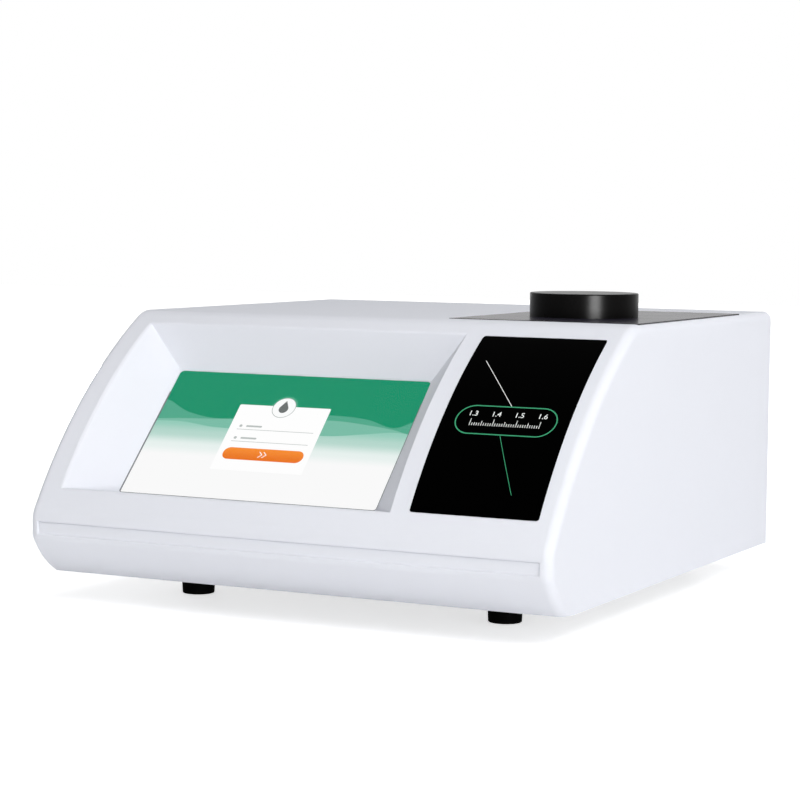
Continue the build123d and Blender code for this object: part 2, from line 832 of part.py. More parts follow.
dish_axis = Plane(origin=(sample_x, sample_y, 0), x_dir=(1, 0, 0), z_dir=(0, -1, 0))


def turned(outline):
    """Turn an outline of radius and height points about the axis of the sample dish."""
    with BuildSketch(dish_axis) as half_section:
        with BuildLine():
            Polyline(*outline, close=True)
        make_face()
    revolve(half_section.sketch, axis=Axis((sample_x, sample_y, 0), (0, 0, 1)))


flange_r = flange_diameter / 2
barrel_r = barrel_diameter / 2
with BuildPart() as dish_seal:
    seal_r = barrel_r + fit_gap
    turned([(seal_r, stage_z), (flange_r, stage_z), (flange_r, dish_z), (seal_r, dish_z)])
finish(dish_seal, "dish_seal")

with BuildPart() as sample_dish:
    turned(
        [
            (dish_bore / 2, chassis_top),
            (barrel_r, chassis_top),
            (barrel_r, dish_z),
            (flange_r, dish_z),
            (flange_r, dish_top),
            (bowl_top_diameter / 2, dish_top),
            (bowl_bottom_diameter / 2, bowl_z),
            (prism_face / 2 + slide_gap, bowl_z),
            (prism_face / 2 + slide_gap, seat_z),
            (prism_flange / 2 + fit_gap, seat_z),
            (prism_flange / 2 + fit_gap, prism_flange_z),
            (dish_bore / 2, prism_flange_z),
        ]
    )
    with Locations((sample_x, sample_y, chassis_top)):
        with PolarLocations(dish_screw_radius, dish_screw_count, start_angle=45):
            Cylinder(screw_m3 / 2, dish_thread, align=STANDING, mode=Mode.SUBTRACT)
    fillet(sample_dish.edges().filter_by(GeomType.CIRCLE).group_by(Axis.Z)[-1], dish_edge)
finish(sample_dish, "sample_dish")

with BuildPart() as prism_seal:
    with Locations((sample_x, sample_y, prism_flange_top)):
        ring(prism_flange, prism_face + 2 * slide_gap, prism_seal_thickness)
finish(prism_seal, "prism_seal")

with BuildPart() as prism:
    with Locations((sample_x, sample_y, prism_flange_z)):
        Cylinder(prism_flange / 2, prism_flange_thickness, align=STANDING)
    with Locations((sample_x, sample_y, prism_flange_top)):
        Cylinder(prism_face / 2, bowl_z - prism_flange_top, align=STANDING)
    with BuildSketch(Plane.XZ.offset(-sample_y)):
        with BuildLine():
            tip_z = prism_flange_z - prism_drop
            half_body = prism_body_width / 2
            half_tip = prism_tip_width / 2
            Polyline(
                (sample_x - half_body, prism_flange_z),
                (sample_x - half_tip, tip_z),
                (sample_x + half_tip, tip_z),
                (sample_x + half_body, prism_flange_z),
                close=True,
            )
        make_face()
    extrude(amount=prism_body_depth / 2, both=True)
finish(prism, "prism")

with BuildPart() as prism_holder:
    with Locations((sample_x, sample_y, holder_top - holder_thickness)):
        Cylinder(dish_bore / 2 - shaft_gap, holder_thickness, align=STANDING)
        Cylinder(prism_flange / 2, holder_thickness + holder_boss, align=STANDING)
        Box(
            prism_body_width + 2 * fit_gap,
            prism_body_depth + 2 * fit_gap,
            holder_thickness + holder_boss,
            align=STANDING,
            mode=Mode.SUBTRACT,
        )
finish(prism_holder, "prism_holder")

# ---------------------------------------------------------------- cap
cap_top = stage_z + cap_height
cap_inside = cap_top - cap_roof
cap_inner_r = cap_diameter / 2 - cap_wall
liner_r = cap_inner_r - slide_gap
skirt_inner_r = flange_r + cap_centring
seal_groove = cap_diameter - cap_wall
with BuildPart() as cap_body:
    with Locations((sample_x, sample_y, stage_z)):
        Cylinder(cap_diameter / 2, cap_height, align=STANDING)
        Cylinder(cap_inner_r, cap_height - cap_roof, align=STANDING, mode=Mode.SUBTRACT)
    with BuildSketch(Plane.XY.offset(stage_z)):
        with Locations((sample_x, sample_y)):
            Circle((seal_groove + cap_seal_width) / 2)
            Circle((seal_groove - cap_seal_width) / 2, mode=Mode.SUBTRACT)
    extrude(amount=cap_seal_depth, mode=Mode.SUBTRACT)
    fillet(cap_body.edges().filter_by(GeomType.CIRCLE).group_by(Axis.Z)[-1], cap_edge)
finish(cap_body, "cap_body")

with BuildPart() as cap_seal:
    with Locations((sample_x, sample_y, stage_z)):
        ring(seal_groove + cap_seal_width, seal_groove - cap_seal_width, cap_seal_depth)
finish(cap_seal, "cap_seal")

with BuildPart() as cap_liner:
    turned(
        [
            (0, cap_inside),
            (liner_r, cap_inside),
            (liner_r, cap_inside - liner_thickness),
            (skirt_inner_r + liner_skirt, cap_inside - liner_thickness),
            (skirt_inner_r + liner_skirt, dish_z),
            (skirt_inner_r, dish_z),
            (skirt_inner_r, cap_inside - liner_thickness),
            (0, cap_inside - liner_thickness),
        ]
    )
finish(cap_liner, "cap_liner")


# ---------------------------------------------------------------- optics under the stage
with BuildPart() as optics_chassis:
    with BuildSketch(Plane.XY.offset(chassis_z)):
        with Locations((sample_x, sample_y + (chassis_back - chassis_front) / 2)):
            Rectangle(chassis_width, chassis_front + chassis_back)
        with Locations((sample_x, sample_y)):
            Circle(chassis_window / 2, mode=Mode.SUBTRACT)
            with PolarLocations(dish_screw_radius, dish_screw_count, start_angle=45):
                Circle(screw_m3 / 2 + slide_gap, mode=Mode.SUBTRACT)
            with GridLocations(*block_screw_pitch, 2, 2):
                Circle(screw_m3 / 2, mode=Mode.SUBTRACT)
        with Locations(*[(x, y) for x, y, z in chassis_posts(0)]):
            Circle(screw_m4 / 2 + slide_gap, mode=Mode.SUBTRACT)
        with Locations((sample_x, cooler_y)):
            with GridLocations(*sink_screw_pitch, 2, 2):
                Circle(screw_m3 / 2, mode=Mode.SUBTRACT)
    extrude(amount=chassis_thickness)
    with Locations((sample_x, sample_y, chassis_z)):
        with PolarLocations(dish_screw_radius, dish_screw_count, start_angle=45):
            Cylinder(screw_m3 + slide_gap, head_m3 + slide_gap, align=STANDING, mode=Mode.SUBTRACT)
    with Locations(probe_place):
        Cylinder(probe_diameter / 2 + shaft_gap, probe_buried, align=HANGING, mode=Mode.SUBTRACT)
finish(optics_chassis, "optics_chassis")

with BuildPart() as chassis_screws:
    with Locations(*[Location(place, (180, 0, 0)) for place in chassis_posts(chassis_z)]):
        screw(screw_m4, chassis_thickness + pad_z - chassis_top, head_m4)
finish(chassis_screws, "chassis_screws")

with BuildPart() as dish_screws:
    with Locations((sample_x, sample_y, chassis_z + head_m3 + slide_gap)):
        with PolarLocations(dish_screw_radius, dish_screw_count, start_angle=45):
            with Locations(Rotation(180, 0, 0)):
                screw(screw_m3, chassis_thickness, head_m3)
finish(dish_screws, "dish_screws")

with BuildPart() as temperature_probe:
    with Locations(probe_place):
        Cylinder(probe_diameter / 2, probe_buried, align=HANGING)
        Cylinder(probe_diameter / 2, probe_length - probe_buried, align=STANDING)
finish(temperature_probe, "temperature_probe")

with BuildPart() as optics_block:
    with Locations((sample_x, sample_y, block_z)):
        Box(*block_size, align=STANDING)
        with GridLocations(*block_screw_pitch, 2, 2):
            Cylinder(screw_m3 / 2 + slide_gap, block_size[2], align=STANDING, mode=Mode.SUBTRACT)
        with GridLocations(2 * bore_offset, 1, 2, 1):
            Cylinder(bore_lower / 2, block_size[2], align=STANDING, mode=Mode.SUBTRACT)
    with Locations((sample_x - bore_offset, sample_y, block_z + collimator_seat)):
        Cylinder(bore_upper / 2, block_size[2], align=STANDING, mode=Mode.SUBTRACT)
    with Locations((sample_x + bore_offset, sample_y, block_z + barrel_seat)):
        Cylinder(bore_upper / 2, block_size[2], align=STANDING, mode=Mode.SUBTRACT)
finish(optics_block, "optics_block")

with BuildPart() as block_screws:
    with Locations((sample_x, sample_y, block_z)):
        with GridLocations(*block_screw_pitch, 2, 2):
            with Locations(Rotation(180, 0, 0)):
                screw(screw_m3, block_size[2] + chassis_thickness, head_m3)
finish(block_screws, "block_screws")

led_x = sample_x - bore_offset
lens_x = sample_x + bore_offset
with BuildPart() as led_board:
    with Locations((led_x, sample_y, block_z)):
        Box(led_board_size, led_board_size, board_thickness, align=HANGING)
        Cylinder(lamp_diameter / 2, lamp_height - lamp_diameter / 2, align=STANDING)
    with Locations((led_x, sample_y, block_z + lamp_height - lamp_diameter / 2)):
        Sphere(lamp_diameter / 2)
finish(led_board, "led_board")


def lens(x, seat, diameter):
    """Lens with a flat back, bulging downward, on a seat in the optics block."""
    with Locations((x, sample_y, seat)):
        Cylinder(diameter / 2 - shaft_gap, lens_thickness, align=STANDING)
    with Locations((x, sample_y, seat + lens_thickness)):
        Sphere(bore_lower, arc_size1=-90, arc_size2=0, mode=Mode.INTERSECT)


with BuildPart() as collimator_lens:
    lens(led_x, block_z + collimator_seat, bore_upper)
finish(collimator_lens, "collimator_lens")

with BuildPart() as light_filter:
    with Locations((led_x, sample_y, block_z + collimator_seat + lens_thickness)):
        Cylinder(bore_upper / 2 - shaft_gap, filter_thickness, align=STANDING)
finish(light_filter, "light_filter")

with BuildPart() as lens_barrel:
    with Locations((lens_x, sample_y, block_z + barrel_seat)):
        Cylinder(bore_upper / 2 - shaft_gap, barrel_height, align=STANDING)
        Cylinder(barrel_aperture / 2, barrel_height, align=STANDING, mode=Mode.SUBTRACT)
    with Locations((lens_x, sample_y, block_z + barrel_seat + objective_seat)):
        Cylinder(bore_lower / 2, barrel_height, align=STANDING, mode=Mode.SUBTRACT)
finish(lens_barrel, "lens_barrel")

with BuildPart() as objective_lens:
    lens(lens_x, block_z + barrel_seat + objective_seat, bore_lower)
finish(objective_lens, "objective_lens")

with BuildPart() as sensor_board:
    with Locations((lens_x, sample_y, block_z)):
        Box(*sensor_board_size, board_thickness, align=HANGING)
        Box(*sensor_size, align=STANDING)
finish(sensor_board, "sensor_board")

# ---------------------------------------------------------------- cooling
with BuildPart() as peltier_module:
    with Locations((sample_x, cooler_y, sink_top)):
        Box(peltier_size, peltier_size, peltier_thickness, align=STANDING)
finish(peltier_module, "peltier_module")

with BuildPart() as heat_sink:
    with Locations((sample_x, cooler_y, sink_top)):
        Box(sink_width, sink_depth, sink_base, align=HANGING)
        with GridLocations(*sink_screw_pitch, 2, 2):
            Cylinder(screw_m3 / 2 + slide_gap, sink_base, align=HANGING, mode=Mode.SUBTRACT)
    with Locations((sample_x, cooler_y, sink_top - sink_base)):
        with GridLocations((fin_span - fin_thickness) / (fin_count - 1), 1, fin_count, 1):
            Box(fin_thickness, sink_depth, fin_height, align=HANGING)
finish(heat_sink, "heat_sink")

with BuildPart() as sink_screws:
    with Locations((sample_x, cooler_y, sink_top - sink_base)):
        with GridLocations(*sink_screw_pitch, 2, 2):
            with Locations(Rotation(180, 0, 0)):
                screw(screw_m3, sink_base + peltier_thickness + chassis_thickness, head_m3)
finish(sink_screws, "sink_screws")

fan_face = Plane(origin=(sample_x, panel_front_y, fan_z), x_dir=(1, 0, 0), z_dir=(0, -1, 0))
with BuildPart() as fan_frame:
    with BuildSketch(fan_face):
        RectangleRounded(fan_size, fan_size, fan_corner)
        Circle(fan_bore / 2, mode=Mode.SUBTRACT)
        with GridLocations(fan_pitch, fan_pitch, 2, 2):
            Circle(screw_m4 / 2, mode=Mode.SUBTRACT)
    extrude(amount=fan_thickness)
    with BuildSketch(fan_face.offset(fan_thickness)):
        Circle(fan_hub / 2)
        strut_length = fan_bore / 2 + strut_root
        with PolarLocations(strut_length / 2, 4, start_angle=45):
            Rectangle(strut_length, strut_width)
    extrude(amount=-strut_depth)
    with BuildSketch(fan_face.offset(fan_thickness)):
        Circle(bush_diameter / 2)
    extrude(amount=-strut_depth - bush_length)
    with BuildSketch(fan_face):
        Circle(spindle_diameter / 2 + shaft_gap)
    extrude(amount=fan_thickness, mode=Mode.SUBTRACT)
finish(fan_frame, "fan_frame")

rotor_face = fan_face.offset(fan_thickness - strut_depth - rotor_gap)
with BuildPart() as fan_rotor:
    with BuildSketch(rotor_face):
        Circle(fan_hub / 2)
    extrude(amount=-rotor_depth)
    with BuildSketch(rotor_face):
        Circle(bush_diameter / 2 + rotor_gap)
    extrude(amount=-bush_length - rotor_gap, mode=Mode.SUBTRACT)
    with BuildSketch(rotor_face.offset(strut_depth + rotor_gap)):
        Circle(spindle_diameter / 2)
    extrude(amount=-strut_depth - rotor_gap - bush_length - 2 * rotor_gap)
    for turn in range(blade_count):
        around = turn * 360 / blade_count
        out = Vector(1, 0, 0).rotate(Axis.Y, around)
        hub_middle = Vector(sample_x, rotor_face.origin.Y + rotor_depth / 2, fan_z)
        hub_point = hub_middle + out * (fan_hub / 2 - blade_root)
        with BuildSketch(Plane(origin=hub_point, x_dir=(0, 1, 0), z_dir=out)):
            Rectangle(blade_chord, blade_thickness, rotation=blade_angle)
        extrude(amount=blade_tip - fan_hub / 2 + blade_root)
finish(fan_rotor, "fan_rotor")

with BuildPart() as fan_guard:
    with BuildSketch(Plane(origin=(sample_x, panel_back_y, fan_z), x_dir=(1, 0, 0), z_dir=(0, 1, 0))):
        for diameter in guard_rings:
            Circle(diameter / 2 + guard_ring_width)
            Circle(diameter / 2, mode=Mode.SUBTRACT)
        spoke = (fan_pitch / math.sqrt(2) - guard_rings[-1] / 2) + guard_ring_width
        with PolarLocations(guard_rings[-1] / 2 + spoke / 2, 4, start_angle=45):
            Rectangle(spoke, 2 * guard_ring_width)
        with GridLocations(fan_pitch, fan_pitch, 2, 2):
            Circle(screw_m4)
        with GridLocations(fan_pitch, fan_pitch, 2, 2):
            Circle(screw_m4 / 2 + slide_gap, mode=Mode.SUBTRACT)
    extrude(amount=guard_thickness)
finish(fan_guard, "fan_guard")

with BuildPart() as fan_screws:
    with Locations(Plane(origin=(sample_x, panel_back_y + guard_thickness, fan_z), z_dir=(0, 1, 0))):
        with GridLocations(fan_pitch, fan_pitch, 2, 2):
            screw(screw_m4, guard_thickness + plate_thickness + fan_thickness, head_m4)
finish(fan_screws, "fan_screws")


# ---------------------------------------------------------------- feet and screws
foot_names = ("front_left_foot", "front_right_foot", "rear_left_foot", "rear_right_foot")
for foot_name, place in zip(foot_names, feet_places(0)):
    with BuildPart() as foot:
        with Locations(place):
            Cone(foot_diameter / 2 - foot_taper, foot_diameter / 2, foot_height, align=STANDING)
            Cylinder(foot_well_diameter / 2, foot_well_depth, align=STANDING, mode=Mode.SUBTRACT)
            Cylinder(screw_m4 / 2 + slide_gap, foot_height, align=STANDING, mode=Mode.SUBTRACT)
        sole_edges = foot.edges().filter_by(GeomType.CIRCLE).group_by(Axis.Z)[0]
        fillet(sole_edges.sort_by(SortBy.RADIUS)[-1], foot_taper)
    finish(foot, foot_name)


def from_below(places):
    """Locations for screws that are driven upward."""
    return [Location(place, (180, 0, 0)) for place in places]


def from_behind(places):
    """Locations for screws that are driven forward through the rear panel."""
    return [Location(place, (-90, 0, 0)) for place in places]


with BuildPart() as foot_screws:
    with Locations(*from_below(feet_places(foot_well_depth))):
        screw(screw_m4, foot_height - foot_well_depth + plate_thickness + screw_grip, head_m4)
finish(foot_screws, "foot_screws")

with BuildPart() as base_screws:
    with Locations(*from_below(base_lugs(floor_z))):
        screw(screw_m3, plate_thickness + lug_height / 2, head_m3)
    with Locations(*from_below(supply_places(floor_z))):
        screw(screw_m3, plate_thickness + supply_stand, head_m3)
finish(base_screws, "base_screws")

with BuildPart() as rear_screws:
    with Locations(*from_behind(rear_lugs(panel_back_y))):
        screw(screw_m3, plate_thickness + lug_height / 2, head_m3)
finish(rear_screws, "rear_screws")

# ---------------------------------------------------------------- main board and its sockets
board_pitch = [size - 2 * inset for size, inset in zip(main_board_size, main_board_inset)]
with BuildPart() as main_board:
    with Locations((main_board_x, main_board_y, board_z)):
        Box(*main_board_size, board_thickness, align=STANDING)
        with GridLocations(*board_pitch, 2, 2):
            Cylinder(screw_m3 / 2 + slide_gap, board_thickness, align=STANDING, mode=Mode.SUBTRACT)
    with Locations((main_board_x, main_board_y, board_top)):
        Box(*processor_size, align=STANDING)
        with Locations((capacitor_shift, 0, 0)):
            with GridLocations(capacitor_pitch, capacitor_pitch, 2, 2):
                Cylinder(capacitor_diameter / 2, capacitor_height, align=STANDING)
    with Locations((ribbon_x, ribbon_socket_y, board_top), (cable_x, cable_y, board_top)):
        Box(*plug_size, align=STANDING)
finish(main_board, "main_board")

with BuildPart() as board_supports:
    with Locations((main_board_x, main_board_y, plate_z)):
        with GridLocations(*board_pitch, 2, 2):
            Cylinder(standoff_diameter / 2, standoff_height, align=STANDING)
            Cylinder(screw_m3 / 2, standoff_height + 2 * board_thickness, align=STANDING)
finish(board_supports, "board_supports")


def rear_plane(x, z, out=0.0):
    """Plane on the back of the rear panel, or out behind it; X to the left, Y up."""
    return Plane(origin=(x, panel_back_y + out, z), x_dir=(-1, 0, 0), z_dir=(0, 1, 0))


def port_plane(x, high):
    """Plane of a socket's mouth, just behind the rear panel."""
    return rear_plane(x, board_top + high / 2, port_proud)


with BuildPart() as usb_ports:
    usb_plane = port_plane(usb_x, usb_size[1])
    with BuildSketch(usb_plane):
        Rectangle(*usb_size)
    extrude(amount=-port_depth)
    with BuildSketch(usb_plane):
        with GridLocations(1, usb_pitch, 1, 2):
            Rectangle(*usb_mouth)
    extrude(amount=-mouth_depth, mode=Mode.SUBTRACT)
    with BuildSketch(usb_plane.offset(-mouth_depth)):
        with GridLocations(1, usb_pitch, 1, 2):
            Rectangle(*usb_tongue)
    extrude(amount=mouth_depth - port_proud)
finish(usb_ports, "usb_ports")

with BuildPart() as network_port:
    network_plane = port_plane(network_x, network_size[1])
    with BuildSketch(network_plane):
        Rectangle(*network_size)
    extrude(amount=-port_depth)
    with BuildSketch(network_plane):
        Rectangle(*network_mouth)
    extrude(amount=-network_mouth_depth, mode=Mode.SUBTRACT)
finish(network_port, "network_port")

with BuildPart() as serial_port:
    serial_plane = port_plane(serial_x, serial_size[1])
    with BuildSketch(serial_plane):
        RectangleRounded(*serial_size, shell_corner)
    extrude(amount=-port_depth)
    with BuildSketch(serial_plane):
        RectangleRounded(*serial_shell, shell_corner)
        inner_shell = [size - 2 * serial_rim for size in serial_shell]
        RectangleRounded(*inner_shell, shell_corner - serial_rim, mode=Mode.SUBTRACT)
        with Locations((0, serial_row / 2)):
            with GridLocations(serial_pitch, 1, serial_pins[0], 1):
                Circle(serial_pin / 2)
        with Locations((0, -serial_row / 2)):
            with GridLocations(serial_pitch, 1, serial_pins[1], 1):
                Circle(serial_pin / 2)
    extrude(amount=shell_length)
finish(serial_port, "serial_port")

# ---------------------------------------------------------------- power supply
supply_board_size = [size - 2 * (supply_wall + supply_margin) for size in supply_size[:2]]
supply_board_z = plate_z + supply_wall + supply_stand
supply_pitch = (supply_board_size[0] - lug_size, supply_board_size[1] - lug_size)
with BuildPart() as supply_case:
    with Locations((supply_x, supply_y, plate_z)):
        Box(*supply_size, align=STANDING)
        with Locations((0, supply_wall, supply_wall)):
            Box(
                supply_size[0] - 2 * supply_wall,
                supply_size[1],
                supply_size[2] - 2 * supply_wall,
                align=STANDING,
                mode=Mode.SUBTRACT,
            )
        with GridLocations(*supply_pitch, 2, 2):
            Cylinder(standoff_diameter / 2, supply_wall + supply_stand, align=STANDING)
    with Locations(*supply_places(plate_z)):
        Cylinder(screw_m3 / 2, supply_wall, align=STANDING, mode=Mode.SUBTRACT)
finish(supply_case, "supply_case")

terminal_y = supply_y + supply_board_size[1] / 2
with BuildPart() as supply_board:
    with Locations((supply_x, supply_y, supply_board_z)):
        Box(*supply_board_size, board_thickness, align=STANDING)
    with Locations((supply_x, supply_y, supply_board_z + board_thickness)):
        Box(*transformer_size, align=STANDING)
        with Locations((0, -supply_capacitor_shift, 0)):
            with GridLocations(capacitor_pitch, 1, 3, 1):
                Cylinder(capacitor_diameter / 2, capacitor_height, align=STANDING)
    with Locations((supply_x, terminal_y, supply_board_z + board_thickness)):
        Box(*terminal_size, align=(Align.CENTER, Align.MAX, Align.MIN))
finish(supply_board, "supply_board")

# ---------------------------------------------------------------- mains inlet, fuse and switch
inlet_face = rear_plane(inlet_x, inlet_z, inlet_flange_thickness)
drawer_place = (0, drawer_shift)
with BuildPart() as mains_inlet:
    with BuildSketch(rear_plane(inlet_x, inlet_z)):
        RectangleRounded(*inlet_flange, shell_corner)
    extrude(amount=inlet_flange_thickness)
    with BuildSketch(rear_plane(inlet_x, inlet_z)):
        Rectangle(*inlet_body)
    extrude(amount=-inlet_depth)
    with BuildSketch(inlet_face):
        with Locations((0, socket_shift)):
            RectangleRounded(*socket_size, shell_corner)
    extrude(amount=-socket_depth, mode=Mode.SUBTRACT)
    with BuildSketch(inlet_face):
        with Locations(drawer_place):
            Rectangle(drawer_size[0] + 2 * slide_gap, drawer_size[1] + 2 * slide_gap)
    extrude(amount=-drawer_depth - slide_gap, mode=Mode.SUBTRACT)
finish(mains_inlet, "mains_inlet")

with BuildPart() as inlet_pins:
    with BuildSketch(inlet_face.offset(-socket_depth)):
        side_pins = [(-pin_pitch, socket_shift), (pin_pitch, socket_shift)]
        with Locations(*side_pins, (0, socket_shift + pin_size[0])):
            Rectangle(pin_size[1], pin_size[0])
    extrude(amount=pin_length)
finish(inlet_pins, "inlet_pins")

with BuildPart() as fuse_drawer:
    with BuildSketch(inlet_face):
        with Locations(drawer_place):
            Rectangle(*drawer_size)
    extrude(amount=-drawer_depth)
    with BuildSketch(inlet_face.offset(-drawer_lip)):
        with Locations((0, drawer_shift - fuse_diameter / 2 - slide_gap)):
            Rectangle(
                fuse_diameter + 2 * slide_gap,
                (drawer_size[1] + fuse_diameter) / 2 + slide_gap,
                align=(Align.CENTER, Align.MIN),
            )
    extrude(amount=-fuse_length - 2 * slide_gap, mode=Mode.SUBTRACT)
    with BuildSketch(inlet_face):
        with Locations((0, drawer_shift - drawer_grip_shift)):
            Rectangle(*drawer_grip)
    extrude(amount=-drawer_lip / 2, mode=Mode.SUBTRACT)
finish(fuse_drawer, "fuse_drawer")

with BuildPart() as fuse:
    with BuildSketch(inlet_face.offset(-drawer_lip - slide_gap)):
        with Locations(drawer_place):
            Circle(fuse_diameter / 2)
    extrude(amount=-fuse_length)
finish(fuse, "fuse")

switch_plane = rear_plane(switch_x, inlet_z)
switch_outer = (switch_opening[0] + 2 * switch_wall, switch_opening[1] + 2 * switch_wall)
pivot = Vector(switch_x, panel_back_y - pivot_sunk, inlet_z)
with BuildPart() as switch_frame:
    with BuildSketch(switch_plane):
        RectangleRounded(*switch_bezel, switch_wall)
    extrude(amount=switch_bezel_thickness)
    with BuildSketch(switch_plane):
        Rectangle(*switch_outer)
    extrude(amount=-switch_depth)
    with BuildSketch(switch_plane.offset(switch_bezel_thickness)):
        Rectangle(*switch_opening)
    extrude(amount=-switch_bezel_thickness - switch_depth + switch_wall, mode=Mode.SUBTRACT)
    with Locations(Location(pivot, (0, 90, 0))):
        Cylinder(pivot_diameter / 2 + shaft_gap, switch_outer[0], mode=Mode.SUBTRACT)
finish(switch_frame, "switch_frame")

half_swing = math.radians(switch_angle / 2)
rocker_width = switch_opening[0] - 2 * fit_gap
with BuildPart() as switch_rocker:
    rocker_plane = Plane(
        origin=pivot + Vector(rocker_width / 2, 0, 0),
        x_dir=(0, math.sin(half_swing), math.cos(half_swing)),
        z_dir=(-1, 0, 0),
    )
    with BuildSketch(rocker_plane):
        with BuildLine():
            half_rocker = rocker_length / 2
            crest = rocker_rise + half_rocker * math.tan(half_swing)
            Polyline(
                (-half_rocker, -rocker_back),
                (half_rocker, -rocker_back),
                (half_rocker, crest),
                (0, rocker_rise),
                (-half_rocker, crest),
                close=True,
            )
        make_face()
    extrude(amount=rocker_width)
    with Locations(Location(pivot, (0, 90, 0))):
        Cylinder(pivot_diameter / 2, switch_outer[0] - 2 * fit_gap)
finish(switch_rocker, "switch_rocker")

# ---------------------------------------------------------------- cables inside the case
ribbon_z = board_top + plug_size[2] / 2
plug_back = display_board_back.offset(-plug_size[2])
ribbon_start = plug_back.from_local_coords((ribbon_x - recess_middle, -ribbon_plug_drop, 0))
with BuildPart() as display_ribbon:
    with BuildSketch(Plane.YZ.offset(ribbon_x - ribbon_width / 2)):
        with BuildLine():
            FilletPolyline(
                (ribbon_start.Y, ribbon_start.Z),
                (ribbon_start.Y + ribbon_start.Z - ribbon_z, ribbon_z),
                (ribbon_socket_y - plug_size[1] / 2, ribbon_z),
                radius=ribbon_bend,
            )
        trace(line_width=ribbon_thickness)
    extrude(amount=ribbon_width)
finish(display_ribbon, "display_ribbon")


def lead(points, diameter, bend):
    """Round lead along straight runs joined by arcs."""
    with BuildLine() as route:
        FilletPolyline(*points, radius=bend)
    with BuildSketch(Plane(origin=points[0], z_dir=Vector(*points[1]) - Vector(*points[0]))) as section:
        Circle(diameter / 2)
    sweep(section.sketch, path=route.line)


with BuildPart() as sensor_cable:
    socket_top = board_top + plug_size[2]
    lead(
        [
            (lens_x, sample_y, block_z - board_thickness),
            (lens_x, sample_y, floor_z + cable_lift),
            (cable_x, cable_y, floor_z + cable_lift),
            (cable_x, cable_y, socket_top),
        ],
        cable_diameter,
        cable_bend,
    )
finish(sensor_cable, "sensor_cable")

with BuildPart() as mains_leads:
    terminal_z = supply_board_z + board_thickness + terminal_size[2] / 2
    inlet_back = panel_back_y - inlet_depth
    for step in (-1, 0, 1):
        across = step * pin_pitch
        lead(
            [
                (inlet_x + across, inlet_back, inlet_z),
                (inlet_x + across, inlet_back - lead_straight, inlet_z),
                (supply_x + across, terminal_y + lead_straight, terminal_z),
                (supply_x + across, terminal_y, terminal_z),
            ],
            lead_diameter,
            lead_bend,
        )
finish(mains_leads, "mains_leads")
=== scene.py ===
"""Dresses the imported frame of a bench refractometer: finishes, screen picture, badge and fittings."""

import json
import math

import bmesh
import bpy
from bpy.props import FloatProperty, FloatVectorProperty, PointerProperty, StringProperty
from mathutils import Matrix, Vector

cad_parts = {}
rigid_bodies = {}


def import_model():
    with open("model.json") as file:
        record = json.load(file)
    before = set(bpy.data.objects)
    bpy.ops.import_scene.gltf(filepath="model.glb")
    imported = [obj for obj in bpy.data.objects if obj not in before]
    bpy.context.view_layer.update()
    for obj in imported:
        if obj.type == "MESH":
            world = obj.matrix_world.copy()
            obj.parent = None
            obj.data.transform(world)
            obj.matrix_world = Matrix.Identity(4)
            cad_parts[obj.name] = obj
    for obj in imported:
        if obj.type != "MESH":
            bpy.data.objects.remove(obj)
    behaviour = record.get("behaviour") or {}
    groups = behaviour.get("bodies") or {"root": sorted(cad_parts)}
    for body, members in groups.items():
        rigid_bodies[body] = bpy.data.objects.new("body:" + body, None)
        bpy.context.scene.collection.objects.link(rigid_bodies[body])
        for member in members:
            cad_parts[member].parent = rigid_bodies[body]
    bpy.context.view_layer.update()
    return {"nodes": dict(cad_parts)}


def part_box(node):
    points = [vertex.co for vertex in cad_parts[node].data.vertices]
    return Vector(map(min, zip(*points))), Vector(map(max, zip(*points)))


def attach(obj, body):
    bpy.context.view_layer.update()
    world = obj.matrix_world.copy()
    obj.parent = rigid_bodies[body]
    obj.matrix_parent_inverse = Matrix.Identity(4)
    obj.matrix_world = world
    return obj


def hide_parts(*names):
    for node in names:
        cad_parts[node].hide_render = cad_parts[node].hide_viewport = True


bl_info = {
    "name": "Bench Refractometer",
    "version": (1, 0, 0),
    "blender": (4, 5, 0),
    "location": "3D View > Sidebar > Refractometer",
    "description": "Finishes, screen picture, badge, fittings and studio for a bench refractometer",
    "category": "Add Mesh",
}

for leftover in list(bpy.data.objects):
    bpy.data.objects.remove(leftover)
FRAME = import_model()
NODES = FRAME["nodes"]

MM = 0.001

# The bow of the case's front, in the side view, in millimetres.
BOW_CENTRE = (125.66, -140.23)
BOW_RADIUS = 413.5
PANEL_PROUD = 0.2

# The display window: its middle and its tilt.
WINDOW_MIDDLE = (-53.5, -141.0, 128.0)
WINDOW_TILT = math.radians(45)
WINDOW_SIZE = (222.0, 125.5)

# Edges that turn by more than this stay sharp in smooth shading.
SHARP = math.radians(35)


# ---------------------------------------------------------------- colour, nodes and finishes
def linear(code, alpha=1.0):
    """Linear colour from an sRGB hex code."""
    values = []
    for start in (1, 3, 5):
        level = int(code[start : start + 2], 16) / 255
        values.append(level / 12.92 if level <= 0.04045 else ((level + 0.055) / 1.055) ** 2.4)
    return (*values, alpha)


def fill_inputs(tree, node, inputs):
    """Link or set inputs of a node."""
    for name, value in inputs.items():
        if isinstance(value, bpy.types.NodeSocket):
            tree.links.new(value, node.inputs[name])
        else:
            node.inputs[name].default_value = value


def add_node(tree, kind, inputs=None, **settings):
    """Add one shader node, set its properties, and fill or link its inputs."""
    made = tree.nodes.new(kind)
    for name, value in settings.items():
        setattr(made, name, value)
    fill_inputs(tree, made, inputs or {})
    return made


